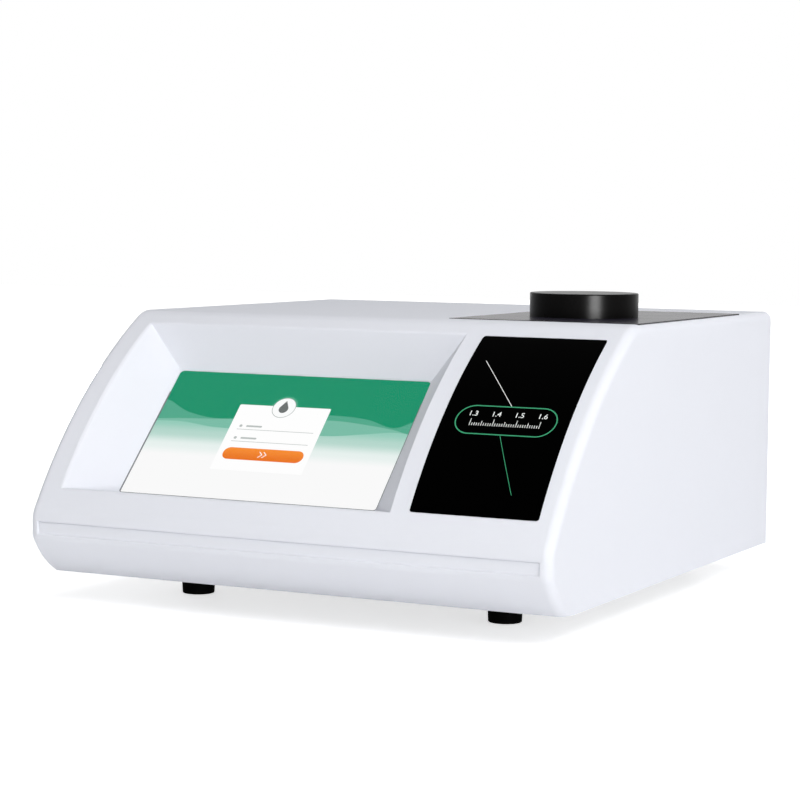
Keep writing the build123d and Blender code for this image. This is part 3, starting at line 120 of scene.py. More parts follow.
class Finish:
    """A material under construction: its tree, its surface shader and its place on the piece."""

    def __init__(self, name, colour, roughness, metallic=0.0, **sockets):
        self.material = bpy.data.materials.new(name)
        self.material.use_nodes = True
        self.tree = self.material.node_tree
        self.surface = self.tree.nodes["Principled BSDF"]
        self.colour = linear(colour)
        self.roughness = roughness
        self.relief = None
        self.place = self.add("ShaderNodeTexCoord").outputs["Object"]
        self.wire({"Base Color": self.colour, "Roughness": roughness, "Metallic": metallic})
        self.wire({name.replace("_", " "): value for name, value in sockets.items()})
        self.material.diffuse_color = self.colour

    def add(self, kind, inputs=None, **settings):
        """Add a node to this material."""
        return add_node(self.tree, kind, inputs, **settings)

    def wire(self, inputs):
        """Fill or link inputs of the surface shader."""
        fill_inputs(self.tree, self.surface, inputs)

    def mark(self, pattern, tint=0.0, sheen=0.0, relief_mm=0.0):
        """Let a pattern between 0 and 1 darken the colour, vary the roughness and raise the surface."""
        if tint:
            dark = (*(level * (1 - tint) for level in self.colour[:3]), 1.0)
            mixed = self.add("ShaderNodeMix", {0: pattern, 6: dark, 7: self.colour}, data_type="RGBA")
            self.wire({"Base Color": mixed.outputs[2]})
        if sheen:
            limits = {"To Min": self.roughness - sheen, "To Max": self.roughness + sheen}
            spread = self.add("ShaderNodeMapRange", {"Value": pattern, **limits})
            self.wire({"Roughness": spread.outputs["Result"]})
        if relief_mm:
            inputs = {"Height": pattern, "Distance": relief_mm * MM}
            if self.relief:
                inputs["Normal"] = self.relief
            self.relief = self.add("ShaderNodeBump", inputs).outputs["Normal"]
            self.wire({"Normal": self.relief})

    def grain(self, spot_mm, detail=2.0, stretch=(1, 1, 1), **marks):
        """Mark the surface with noise whose spots are spot_mm wide, drawn out along the axes by stretch."""
        scale = tuple(1 / (factor * spot_mm * MM) for factor in stretch)
        place = self.add("ShaderNodeMapping", {"Vector": self.place, "Scale": scale})
        noise = self.add("ShaderNodeTexNoise", {"Vector": place.outputs[0], "Scale": 1.0, "Detail": detail})
        self.mark(noise.outputs["Fac"], **marks)


def moulded_abs(looks):
    """Moulded ABS from a spark-eroded tool: a fine even grain that breaks up reflections."""
    made = Finish("moulded_abs_white", looks.case_colour, 0.66, IOR=1.53, Specular_IOR_Level=0.012)
    # Broad, faint changes of tint and sheen.
    made.grain(90, 3.0, tint=0.015, sheen=0.03)
    # Real grain is about 0.1 mm; it is drawn at 0.7 mm so that it shows.
    made.grain(0.7, 4.0, relief_mm=0.012)
    made.grain(60, 1.0, relief_mm=0.08)
    return made.material


def powder_coat(looks):
    """Powder-coated steel: baked polyester with a shallow orange peel."""
    made = Finish("powder_coated_steel", looks.sheet_colour, 0.5, IOR=1.5)
    made.grain(25, 3.0, tint=0.03, sheen=0.05)
    # The orange peel.
    made.grain(1.6, relief_mm=0.03)
    return made.material


def black_acrylic(looks):
    """Back-printed acrylic: flat, polished, black through to the print behind it."""
    made = Finish("back_printed_acrylic_black", "#000000", 0.1, IOR=1.49, Specular_IOR_Level=0.005)
    made.grain(60, 3.0, tint=0.3, sheen=0.03)
    made.grain(45, 1.0, relief_mm=0.01)
    return made.material


def black_glass(looks):
    """Etched glass with a black backing: a soft mirror at a low angle, dark grey from above."""
    made = Finish("black_backed_glass", looks.stage_colour, 0.25, IOR=1.5, Specular_IOR_Level=0.05)
    made.grain(30, 3.0, tint=0.2, sheen=0.03)
    made.grain(70, 1.0, relief_mm=0.01)
    return made.material


def turned_steel(looks):
    """Stainless steel turned on a lathe: fine rings about the sample axis."""
    made = Finish("turned_stainless_steel", "#C6C7C9", 0.24, metallic=1.0, Anisotropic=0.4)
    low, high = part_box("sample_dish")
    shift = {"Vector": made.place, "Location": -(low + high) / 2}
    place = made.add("ShaderNodeMapping", shift).outputs[0]
    # Turning marks of about 0.1 mm feed, drawn every 0.5 mm; one ring takes 0.314 of the texture's space.
    inputs = {"Vector": place, "Scale": 0.314 / (0.5 * MM)}
    rings = made.add("ShaderNodeTexWave", inputs, wave_type="RINGS", rings_direction="Z")
    made.grain(8, 3.0, tint=0.12, sheen=0.05)
    made.mark(rings.outputs["Fac"], relief_mm=0.004)
    return made.material


def milled_aluminium(looks):
    """Milled aluminium: pale grey metal with straight cutter marks across it."""
    made = Finish("milled_aluminium", "#B9BCC0", 0.35, metallic=1.0)
    made.grain(1.2, stretch=(14, 1, 1), tint=0.12, sheen=0.06, relief_mm=0.01)
    return made.material


def black_anodised(looks):
    """Black anodised aluminium: a dull, slightly blue black over fine milling."""
    made = Finish("black_anodised_aluminium", "#18191C", 0.45, metallic=0.6)
    made.grain(10, 3.0, tint=0.2, sheen=0.06)
    made.grain(0.6, 3.0, stretch=(10, 1, 1), relief_mm=0.008)
    return made.material


def zinc_steel(looks):
    """Zinc-plated steel: bright, a little cloudy, with a faint cold tint."""
    made = Finish("zinc_plated_steel", "#C9CCD0", 0.3, metallic=1.0)
    made.grain(3, 3.0, tint=0.18, sheen=0.08)
    made.grain(0.5, 3.0, relief_mm=0.004)
    return made.material


def black_acetal(looks):
    """Turned black acetal: a waxy satin black with fine lathe rings round the side of the cap."""
    made = Finish("turned_black_acetal", looks.cap_colour, 0.28, IOR=1.48, Specular_IOR_Level=0.04)
    made.grain(20, 3.0, tint=0.25, sheen=0.03)
    # Lathe feed of 0.15 mm, drawn at 0.45 mm so that it shows.
    made.grain(0.45, stretch=(60, 60, 1), relief_mm=0.003)
    return made.material


def grey_polypropylene(looks):
    """Grey polypropylene moulding: soft sheen and a faint grain."""
    made = Finish("grey_polypropylene", "#3A3C40", 0.5, IOR=1.49)
    made.grain(15, 3.0, tint=0.12, sheen=0.04)
    made.grain(0.8, 3.0, relief_mm=0.01)
    return made.material


def grey_shade_strip(looks):
    """Matt mid-grey strip with no gloss, like moulded silicone; its grey paints the shade under the lip of
    the window.
    """
    made = Finish("moulded_silicone_grey", "#85888C", 0.7, IOR=1.41, Specular_IOR_Level=0.1)
    made.grain(6, 3.0, tint=0.1)
    made.grain(0.6, 3.0, relief_mm=0.01)
    return made.material


def nitrile_rubber(looks):
    """Nitrile rubber: matt black with a trace of bloom."""
    made = Finish("nitrile_rubber_black", looks.foot_colour, 0.75, IOR=1.52, Specular_IOR_Level=0.01)
    made.grain(6, 3.0, tint=0.35, sheen=0.06)
    made.grain(0.5, 4.0, relief_mm=0.03)
    return made.material


def optical_glass(looks):
    """Polished optical glass: clear, with a trace of blue coating."""
    made = Finish("polished_optical_glass", "#EAF4FA", 0.02, IOR=1.62, Transmission_Weight=1.0)
    made.grain(4, relief_mm=0.001)
    return made.material


def circuit_board(looks):
    """Glass-epoxy board under green solder resist, with copper tracks that show as paler lines."""
    made = Finish("glass_epoxy_board", "#0E5A36", 0.35, IOR=1.55)
    inputs = {"Vector": made.place, "Scale": 1 / (3.2 * MM), "Randomness": 0.6}
    cells = made.add("ShaderNodeTexVoronoi", inputs, distance="MANHATTAN", feature="F1")
    limits = {"Value": cells.outputs["Distance"], "From Min": 0.55, "From Max": 0.6}
    tracks = made.add("ShaderNodeMapRange", limits)
    made.mark(tracks.outputs["Result"], tint=0.45, sheen=0.08, relief_mm=0.03)
    return made.material


def alumina(looks):
    """Alumina ceramic: white, matt, faintly porous."""
    made = Finish("alumina_ceramic", "#E6E4DE", 0.6, IOR=1.76, Specular_IOR_Level=0.3)
    made.grain(2, 3.0, tint=0.08, sheen=0.05)
    made.grain(0.4, 3.0, relief_mm=0.01)
    return made.material


def filled_nylon(looks):
    """Glass-filled nylon: dark, slightly fibrous moulding."""
    made = Finish("glass_filled_nylon_black", "#16171A", 0.5, IOR=1.53)
    made.grain(4, 3.0, tint=0.3, sheen=0.06)
    made.grain(0.6, 3.0, stretch=(1, 1, 5), relief_mm=0.02)
    return made.material


def tinned_steel(looks):
    """Tin-plated steel shell: soft bright metal with rolling marks."""
    made = Finish("tin_plated_steel", "#C2C4C6", 0.28, metallic=1.0)
    made.grain(0.4, stretch=(12, 1, 1), tint=0.15, sheen=0.06, relief_mm=0.003)
    return made.material


def nickel_brass(looks):
    """Nickel-plated brass: warm white metal."""
    made = Finish("nickel_plated_brass", "#D6CDB4", 0.22, metallic=1.0)
    made.grain(2, 3.0, tint=0.15, sheen=0.05)
    made.grain(0.4, relief_mm=0.003)
    return made.material


def fuse_tube(looks):
    """Glass tube of a fuse: clear, faintly green."""
    made = Finish("fuse_glass_tube", "#E4F0EA", 0.03, IOR=1.5, Transmission_Weight=0.9)
    made.grain(3, 3.0, tint=0.05)
    return made.material


def cable_pvc(looks):
    """PVC insulation: dark grey, soft sheen."""
    made = Finish("grey_pvc_insulation", "#2A2B2F", 0.45, IOR=1.53)
    made.grain(5, 3.0, tint=0.2, sheen=0.06)
    made.grain(0.7, relief_mm=0.02)
    return made.material


def lit(name, colour, fade=()):
    """Backlit liquid crystal: the picture gives its own light, in one colour or faded between heights."""
    made = Finish(name, "#000000", 0.5, Specular_IOR_Level=0.0)
    made.wire({"Emission Color": linear(colour), "Emission Strength": 1.0})
    if fade:
        # Stops are (height in millimetres, colour), from the lowest up.
        levels = made.add("ShaderNodeSeparateXYZ", {"Vector": made.place})
        low, high = fade[0][0], fade[-1][0]
        limits = {"Value": levels.outputs["Z"], "From Min": low * MM, "From Max": high * MM}
        share = made.add("ShaderNodeMapRange", limits)
        ramp = made.add("ShaderNodeValToRGB", {"Fac": share.outputs["Result"]})
        ramp.color_ramp.interpolation = "EASE"
        stops = ramp.color_ramp.elements
        while len(stops) < len(fade):
            stops.new(0.5)
        for stop, (height, code) in zip(stops, fade):
            stop.position = (height - low) / (high - low)
            stop.color = linear(code)
        made.wire({"Emission Color": ramp.outputs["Color"]})
    return made.material


def screen_ink(name, colour, glow):
    """Screen-printed ink on the acrylic, a thin even film, which also gives a little light of its own as a
    painted glow.
    """
    made = Finish(name, colour, 0.4, Specular_IOR_Level=0.3)
    made.grain(1.5, 3.0, tint=0.12)
    # The emission is a painted glow on the ink.
    made.wire({"Emission Color": linear(colour), "Emission Strength": glow})
    return made.material


def cover_glass(looks):
    """Coated cover glass of the touch screen: clear, with little reflection."""
    # The anti-reflection coating cuts the mirror image to that of a much weaker index.
    made = Finish("coated_cover_glass", "#FFFFFF", 0.02, IOR=1.12, Transmission_Weight=1.0)
    made.grain(40, 1.0, relief_mm=0.002)
    return made.material


def dress(material, *names):
    """Give CAD nodes a material in every slot."""
    for name in names:
        mesh = NODES[name].data
        if not mesh.materials:
            mesh.materials.append(material)
        for index in range(len(mesh.materials)):
            mesh.materials[index] = material


# ---------------------------------------------------------------- shapes
def in_window(point):
    """From window coordinates (right, up, towards the viewer) in millimetres to metres."""
    right, up, near = point
    sine, cosine = math.sin(WINDOW_TILT), math.cos(WINDOW_TILT)
    x, y, z = WINDOW_MIDDLE
    return Vector((x + right, y + up * cosine - near * sine, z + up * sine + near * cosine)) * MM


def on_bow(point):
    """From panel coordinates (x, height along the bow, lift off the panel) in millimetres to metres."""
    x, along, lift = point
    turn = along / BOW_RADIUS
    reach = BOW_RADIUS + PANEL_PROUD + lift
    y, z = BOW_CENTRE
    return Vector((x, y - reach * math.cos(turn), z + reach * math.sin(turn))) * MM


def piece(name, mesh, material):
    """Make an object of a mesh, give it its material and let it ride on the case."""
    made = bpy.data.objects.new(name, mesh)
    bpy.context.scene.collection.objects.link(made)
    mesh.materials.clear()
    mesh.materials.append(material)
    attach(made, "case")
    return made


def to_mesh(name, form):
    """Turn a bmesh into a mesh with all its faces outward."""
    bmesh.ops.recalc_face_normals(form, faces=form.faces)
    return plain_mesh(name, form)


def plain_mesh(name, form):
    """Turn a bmesh into a mesh as it is."""
    mesh = bpy.data.meshes.new(name)
    form.to_mesh(mesh)
    form.free()
    return mesh


def smooth(mesh):
    """Shade a mesh smooth, apart from its edges that are sharper than SHARP."""
    for face in mesh.polygons:
        face.use_smooth = True
    mesh.set_sharp_from_angle(angle=SHARP)


def rounded(width, height, radius, middle=(0.0, 0.0), steps=10):
    """Outline of a rounded rectangle."""
    points = []
    for quarter, (side, level) in enumerate(((1, 1), (-1, 1), (-1, -1), (1, -1))):
        x = middle[0] + side * (width / 2 - radius)
        y = middle[1] + level * (height / 2 - radius)
        for step in range(steps + 1):
            angle = math.radians(90) * (quarter + step / steps)
            points.append((x + radius * math.cos(angle), y + radius * math.sin(angle)))
    return points


def add_sheet(form, outline, low, high, place):
    """Add a thin closed sheet with this outline, between two heights."""
    lower = [form.verts.new(place((x, y, low))) for x, y in outline]
    upper = [form.verts.new(place((x, y, high))) for x, y in outline]
    form.faces.new(lower[::-1])
    form.faces.new(upper)
    for index in range(len(outline)):
        after = (index + 1) % len(outline)
        form.faces.new((lower[index], lower[after], upper[after], upper[index]))


def add_band(form, outer, inner, low, high, place, closed=True):
    """Add a thin closed band between two outlines with as many points each."""
    rows = [[form.verts.new(place((x, y, level))) for x, y in line]
            for line, level in ((outer, low), (outer, high), (inner, high), (inner, low))]
    count = len(outer)
    for index in range(count if closed else count - 1):
        after = (index + 1) % count
        for here, there in zip(rows, rows[1:] + rows[:1]):
            form.faces.new((here[index], here[after], there[after], there[index]))
    if not closed:
        form.faces.new([row[0] for row in rows])
        form.faces.new([row[-1] for row in rows][::-1])


def stroke(start, end, width, steps=24):
    """The two long sides of a straight stroke."""
    start, end = Vector(start), Vector(end)
    aside = Vector((start.y - end.y, end.x - start.x)).normalized() * width / 2
    line = [start.lerp(end, step / steps) for step in range(steps + 1)]
    return [tuple(point + aside) for point in line], [tuple(point - aside) for point in line]


def lathe(form, profile, base, axis, segments=48):
    """Turn a profile of (radius, height) about an axis that starts at base."""
    axis = axis.normalized()
    side = axis.orthogonal().normalized()
    other = axis.cross(side)
    rings = []
    for radius, height in profile:
        centre = base + axis * height
        if radius == 0:
            rings.append([form.verts.new(centre)])
            continue
        turns = [2 * math.pi * step / segments for step in range(segments)]
        spokes = [side * math.cos(turn) + other * math.sin(turn) for turn in turns]
        rings.append([form.verts.new(centre + spoke * radius) for spoke in spokes])
    for lower, upper in zip(rings, rings[1:]):
        for step in range(segments):
            after = (step + 1) % segments
            corners = [lower[step % len(lower)], lower[after % len(lower)],
                       upper[after % len(upper)], upper[step % len(upper)]]
            unique = list(dict.fromkeys(corners))
            if len(unique) > 2:
                form.faces.new(unique)


def islands(name):
    """Lowest and highest corner of each separate solid of a CAD node."""
    form = bmesh.new()
    form.from_mesh(NODES[name].data)
    bmesh.ops.remove_doubles(form, verts=form.verts, dist=1e-6)
    left = set(form.verts)
    found = []
    while left:
        reached = {left.pop()}
        front = list(reached)
        while front:
            vert = front.pop()
            for edge in vert.link_edges:
                other = edge.other_vert(vert)
                if other not in reached:
                    reached.add(other)
                    front.append(other)
        left -= reached
        corners = [vert.co for vert in reached]
        low = Vector([min(corner[axis] for corner in corners) for axis in range(3)])
        high = Vector([max(corner[axis] for corner in corners) for axis in range(3)])
        found.append((low, high))
    form.free()
    return found


def text_mesh(form, words, size, middle, low, high, place):
    """Add plain figures, size millimetres high, as thin solids."""
    curve = bpy.data.curves.new("figures", "FONT")
    curve.body = words
    curve.size = size
    curve.align_x = "CENTER"
    curve.align_y = "CENTER"
    curve.fill_mode = "BOTH"
    carrier = bpy.data.objects.new("figures", curve)
    flat = bpy.data.meshes.new_from_object(carrier)
    part = bmesh.new()
    part.from_mesh(flat)
    bmesh.ops.remove_doubles(part, verts=part.verts, dist=1e-4)
    result = bmesh.ops.extrude_face_region(part, geom=part.faces[:])
    for vert in part.verts:
        vert.co = (vert.co.x + middle[0], vert.co.y + middle[1], low)
    for item in result["geom"]:
        if isinstance(item, bmesh.types.BMVert):
            item.co.z = high
    for vert in part.verts:
        vert.co = place(tuple(vert.co))
    solid = bpy.data.meshes.new("figures")
    part.to_mesh(solid)
    part.free()
    form.from_mesh(solid)
    bpy.data.objects.remove(carrier)
    bpy.data.meshes.remove(flat)
    bpy.data.meshes.remove(solid)


# ---------------------------------------------------------------- sizes and colours to change
def colour_setting(name, description, code):
    """A colour that a user may change, kept as an sRGB hex code."""
    return StringProperty(name=name, description=description, default=code, maxlen=7)


class RefractometerLooks(bpy.types.PropertyGroup):
    """Colours of the instrument."""

    case_colour: colour_setting("Case", "Colour of the moulded case", "#EBEDF4")
    sheet_colour: colour_setting("Sheet metal", "Colour of the rear panel and base plate", "#C9CBD0")
    stage_colour: colour_setting("Stage", "Colour behind the glass of the stage", "#201E27")
    cap_colour: colour_setting("Cap", "Colour of the cap over the sample", "#0A0909")
    foot_colour: colour_setting("Feet", "Colour of the rubber feet", "#030303")
    badge_green: colour_setting("Badge line", "Colour of the badge outline", "#2A8F63")
    badge_white: colour_setting("Badge scale", "Colour of the scale on the badge", "#E4E8E6")
    screen_dark: colour_setting("Screen, top", "Darkest green of the screen picture", "#169069")
    screen_middle: colour_setting("Screen, middle", "Middle green of the screen picture", "#51A88B")
    screen_pale: colour_setting("Screen, pale", "Pale green of the screen picture", "#79BCA6")
    screen_light: colour_setting("Screen, light", "Lightest green of the screen picture", "#B5D7CC")
    screen_white: colour_setting("Screen, ground", "Ground of the screen picture", "#F9F9F9")
    button_colour: colour_setting("Button", "Colour of the button on the screen", "#E9721C")


class RefractometerSizes(bpy.types.PropertyGroup):
    """Sizes of the fittings that the frame leaves plain."""

    badge_width: FloatProperty(name="Badge width", description="Across the outline on the front panel",
                               default=0.0788, unit="LENGTH")
    badge_height: FloatProperty(name="Badge height", description="Up the outline on the front panel",
                                default=0.027, unit="LENGTH")
    badge_line: FloatProperty(name="Badge line", description="Width of the outline on the front panel",
                              default=0.0009, unit="LENGTH")
    recess_depth: FloatProperty(name="Driver recess", description="Depth of the cross recess in each screw",
                                default=0.0014, unit="LENGTH")


class RefractometerStudio(bpy.types.PropertyGroup):
    """Camera and light."""

    focal_length: FloatProperty(name="Focal length", description="Lens of the camera",
                                default=105.45, unit="CAMERA")
    ambient: FloatProperty(name="Ambient", description="Level of the light from all round",
                           default=0.24, min=0.0)
    front_power: FloatProperty(name="Front light", description="Power of the low soft box in front",
                               default=30.0, unit="POWER")
    key_power: FloatProperty(name="Key light", description="Power of the high soft box on the right",
                             default=26.0, unit="POWER")
    side_power: FloatProperty(name="Side light", description="Power of the low soft box on the right",
                              default=11.0, unit="POWER")
    top_power: FloatProperty(name="Top light", description="Power of the soft box overhead",
                             default=15.0, unit="POWER")
    back_power: FloatProperty(name="Back light", description="Power of the low soft box behind on the left",
                              default=50.0, unit="POWER")
    edge_power: FloatProperty(name="Edge light", description="Power of the strip that the cap mirrors",
                              default=150.0, unit="POWER")
    camera_place: FloatVectorProperty(name="Camera", description="Place of the camera",
                                      default=(0.83424, -1.67407, 0.29660), subtype="TRANSLATION")
    camera_target: FloatVectorProperty(name="Target", description="Point that the camera looks at",
                                       default=(-0.03062, 0.0245, 0.14631), subtype="TRANSLATION")


# ---------------------------------------------------------------- finishes of the frame's own nodes
class REFRACTOMETER_OT_case(bpy.types.Operator):
    """Finish the case, its panels and its feet"""

    bl_idname = "refractometer.case"
    bl_label = "Case and panels"

    def execute(self, context):
        looks = context.scene.refractometer_looks
        dress(moulded_abs(looks), "housing")
        dress(powder_coat(looks), "rear_panel", "base_plate", "supply_case")
        dress(black_acrylic(looks), "front_panel")
        feet = ("front_left_foot", "front_right_foot", "rear_left_foot", "rear_right_foot")
        dress(nitrile_rubber(looks), *feet, "dish_seal", "prism_seal", "cap_seal")
        return {"FINISHED"}


class REFRACTOMETER_OT_sample(bpy.types.Operator):
    """Finish the stage plate, the sample dish and the cap"""

    bl_idname = "refractometer.sample"
    bl_label = "Stage, dish and cap"

    def execute(self, context):
        looks = context.scene.refractometer_looks
        dress(black_glass(looks), "stage_plate")
        dress(turned_steel(looks), "sample_dish")
        dress(optical_glass(looks), "prism", "objective_lens", "collimator_lens")
        dress(black_acetal(looks), "cap_body")
        dress(grey_polypropylene(looks), "cap_liner")
        return {"FINISHED"}


class REFRACTOMETER_OT_inside(bpy.types.Operator):
    """Finish the optics, the electronics, the fan and the sockets"""

    bl_idname = "refractometer.inside"
    bl_label = "Optics, electronics and sockets"

    def execute(self, context):
        looks = context.scene.refractometer_looks
        dress(milled_aluminium(looks), "optics_chassis", "prism_holder", "heat_sink", "display_bracket")
        dress(black_anodised(looks), "optics_block", "lens_barrel", "light_filter")
        screws = ("block_screws", "chassis_screws", "dish_screws", "display_screws", "sink_screws")
        dress(zinc_steel(looks), *screws, "fan_guard", "board_supports", "temperature_probe")
        boards = ("main_board", "supply_board", "display_board", "led_board", "sensor_board")
        dress(circuit_board(looks), *boards)
        dress(alumina(looks), "peltier_module")
        mouldings = ("fan_frame", "fan_rotor", "mains_inlet", "fuse_drawer", "switch_frame", "switch_rocker")
        dress(filled_nylon(looks), *mouldings, "display_module")
        dress(tinned_steel(looks), "network_port", "serial_port", "usb_ports")
        dress(nickel_brass(looks), "inlet_pins")
        dress(fuse_tube(looks), "fuse")
        dress(cable_pvc(looks), "display_ribbon", "mains_leads", "sensor_cable")
        return {"FINISHED"}


# ---------------------------------------------------------------- screen
def crest(points, steps=12):
    """Smooth line through points, with level ends."""
    slopes = [0.0]
    for before, after in zip(points, points[2:]):
        slopes.append((after[1] - before[1]) / (after[0] - before[0]))
    slopes.append(0.0)
    line = []
    for (x0, y0), (x1, y1), leave, arrive in zip(points, points[1:], slopes, slopes[1:]):
        for step in range(steps):
            t = step / steps
            bend = (x1 - x0) * t * (1 - t) * (leave * (1 - t) - arrive * t)
            line.append((x0 + (x1 - x0) * t, y0 + (y1 - y0) * t * t * (3 - 2 * t) + bend))
    return line + [points[-1]]


# Layers of the screen, as distances from the case's face in millimetres: back, then front.
GROUND_LAYER = (-2.79, -2.70)
FIRST_WAVE, WAVE_STEP, WAVE_DEPTH = -2.67, 0.15, 0.12
HALO_LAYER = (-2.20, -2.12)
CARD_LAYER = (-2.08, -1.98)
INK_LAYER = (-1.97, -1.93)
RING_LAYER = (-1.93, -1.90)
ARROW_LAYER = (-1.92, -1.88)
DISC_LAYER = (-1.89, -1.86)
DROP_LAYER = (-1.85, -1.82)
COVER_LAYER = (-1.75, -1.03)
SHADE_STRIP_LAYER = (-1.02, 0.06)

# The picture runs on behind the lip of the window by this much on every side.
BEHIND_LIP = 4
# The cover glass is this much wider and higher than the window. The frame's own glass has 14.
GLASS_MARGIN = 12
# The grey strip of painted shade along the window's lip lies between two outlines, which are smaller than the
# window by these insets, and ends at this height above the window's middle.
SHADE_STRIP_INSETS, SHADE_STRIP_CORNER, SHADE_STRIP_TOP = (0.1, 1.1), 2.5, 40
# Places and sizes on the screen, in millimetres right of and above its middle.
CARD_SIZE, CARD_PLACE = (80, 65), (-3.5, -0.5)
HALO_PLACE, DISC_PLACE = (-4.2, 30.8), (-4.2, 30.6)
DROP_PLACE, DROP_RADIUS, DROP_TIP = (-4.2, 29.4), 4.0, 37.6
BUTTON_SIZE, BUTTON_PLACE = (70.1, 11.6), (-3.5, -16.6)
ARROW_TIPS, ARROW_ARM, ARROW_LINE = (-4.2, -0.6), 2.8, 1.1
LINE_LEVELS, MARK_LIFT = (7.3, -4.6), 3.4
WAVE_PLACES = (-88, -60, -30, 15, 45, 72, 96)


class REFRACTOMETER_OT_screen(bpy.types.Operator):
    """Build the picture on the screen and the cover glass over it"""

    bl_idname = "refractometer.screen"
    bl_label = "Screen and cover glass"

    def cover(self, name, form, material):
        """Make one of the pieces that stand for the plain cover glass."""
        made = piece(name, to_mesh(name, form), material)
        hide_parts("touch_glass")

    def sheet(self, name, outline, layer, material):
        """Lay one thin sheet of the picture."""
        form = bmesh.new()
        add_sheet(form, outline, *layer, in_window)
        self.cover(name, form, material)

    def disc(self, name, diameter, middle, layer, material):
        """Lay one thin round sheet of the picture."""
        self.sheet(name, rounded(diameter, diameter, diameter / 2 - 0.01, middle, 16), layer, material)

    def background(self, looks):
        """The pale ground that fades upwards, and the green waves above it."""
        side, up = (size / 2 + BEHIND_LIP for size in WINDOW_SIZE)
        mist = (
            (110.5, looks.screen_white),
            (118.3, "#E7F1EE"),
            (126.8, looks.screen_light),
            (134.5, "#93CBB9"),
        )
        ground = lit("screen_ground", looks.screen_white, mist)
        self.sheet("screen_picture_ground", rounded(2 * side, 2 * up, 2.0), GROUND_LAYER, ground)
        waves = (
            ("pale", looks.screen_pale, (12, 12.3, 8.6, 8, 6, 6, 9.5, 12.8, 12)),
            ("middle", looks.screen_middle, (14, 15.5, 16.6, 18, 20, 21, 18.6, 15.2, 11)),
            ("dark", looks.screen_dark, (34, 22.5, 17.2, 20, 25, 26, 23.5, 17, 26)),
        )
        places = (-side, *WAVE_PLACES, side)
        for index, (name, colour, levels) in enumerate(waves):
            outline = crest(list(zip(places, levels))) + [(side, up), (-side, up)]
            back = FIRST_WAVE + WAVE_STEP * index
            layer = (back, back + WAVE_DEPTH)
            self.sheet(f"screen_picture_{name}", outline, layer, lit(f"screen_{name}", colour))

    def card(self):
        """The white card, its badge with a drop, and two lines with a mark and a bar each."""
        outline = rounded(*CARD_SIZE, 1.2, CARD_PLACE)
        self.sheet("screen_card", outline, CARD_LAYER, lit("screen_card", "#FEFEFE"))
        self.disc("screen_badge_halo", 23, HALO_PLACE, HALO_LAYER, lit("screen_halo", "#4DA585"))
        self.disc("screen_badge_ring", 20, DISC_PLACE, RING_LAYER, lit("screen_ring", "#A9B1AE"))
        self.disc("screen_badge", 19, DISC_PLACE, DISC_LAYER, lit("screen_badge", "#FBFCFC"))
        x, y = DROP_PLACE
        drop = []
        for step in range(33):
            turn = math.radians(-210 + 240 * step / 32)
            drop.append((x + DROP_RADIUS * math.cos(turn), y + DROP_RADIUS * math.sin(turn)))
        drop.append((x, DROP_TIP))
        self.sheet("screen_badge_drop", drop, DROP_LAYER, lit("screen_drop", "#6C7170"))
        grey = lit("screen_grey", "#B9BFBD")
        for index, level in enumerate(LINE_LEVELS):
            middle = level + MARK_LIFT
            for name, outline in (
                ("rule", rounded(67.2, 0.5, 0.2, (-3.0, level))),
                ("mark", rounded(2.6, 2.6, 1.2, (-34.2, middle))),
                ("word", rounded(14.0, 1.7, 0.8, (-22.5, middle))),
            ):
                self.sheet(f"screen_{name}_{index}", outline, INK_LAYER, grey)

    def button(self, looks):
        """The round-ended button with two arrows."""
        wide, high = BUTTON_SIZE
        fade = ((110.5, looks.button_colour), (119.0, "#F68C30"))
        outline = rounded(wide, high, high / 2 - 0.01, BUTTON_PLACE, 16)
        self.sheet("screen_button", outline, INK_LAYER, lit("screen_button", looks.button_colour, fade))
        level = BUTTON_PLACE[1]
        for index, tip in enumerate(ARROW_TIPS):
            form = bmesh.new()
            tail = tip - ARROW_ARM
            corners = [(tail, level - ARROW_ARM), (tip, level), (tail, level + ARROW_ARM)]
            outer = [(x + ARROW_LINE / 2, y) for x, y in corners]
            inner = [(x - ARROW_LINE / 2, y) for x, y in corners]
            add_band(form, outer, inner, *ARROW_LAYER, in_window, closed=False)
            self.cover(f"screen_button_arrow_{index}", form, lit("screen_arrow", "#FFF4EA"))

    def glass(self, looks):
        """The cover glass, and a grey strip between it and the case on three sides, which paints the shade
        under the window's lip.
        """
        wide, high = WINDOW_SIZE
        outline = rounded(wide + GLASS_MARGIN, high + GLASS_MARGIN, 3.0)
        self.sheet("touch_cover_glass", outline, COVER_LAYER, cover_glass(looks))
        # The strip's grey is painted shade along the lower edge and sides of the window.
        edges = []
        for inset in SHADE_STRIP_INSETS:
            outline = rounded(wide - inset, high - inset, SHADE_STRIP_CORNER - inset / 2)
            lower = [point for point in outline if point[1] < 0]
            edges.append([(lower[0][0], SHADE_STRIP_TOP), *lower, (lower[-1][0], SHADE_STRIP_TOP)])
        form = bmesh.new()
        add_band(form, *edges, *SHADE_STRIP_LAYER, in_window, closed=False)
        piece("window_seal", to_mesh("window_seal", form), grey_shade_strip(looks))

    def execute(self, context):
        looks = context.scene.refractometer_looks
        self.background(looks)
        self.card()
        self.button(looks)
        self.glass(looks)
        return {"FINISHED"}


# ---------------------------------------------------------------- front panel
# Places on the panel are millimetres across the case and up the bow; layers are distances from its face.
BADGE_PLACE = (151.1, 324.6)
PRINT_LAYER = (-0.12, 0.1)
SCALE_PITCH = 1.8
TICK_WIDTH, TICK_FOOT = 0.42, 5.6
LONG_TICK, MIDDLE_TICK, SHORT_TICK = 6.2, 4.4, 2.6
FIGURE_HEIGHT, FIGURE_LIFT = 6.4, 5.4
RAY_WIDTH = 0.42


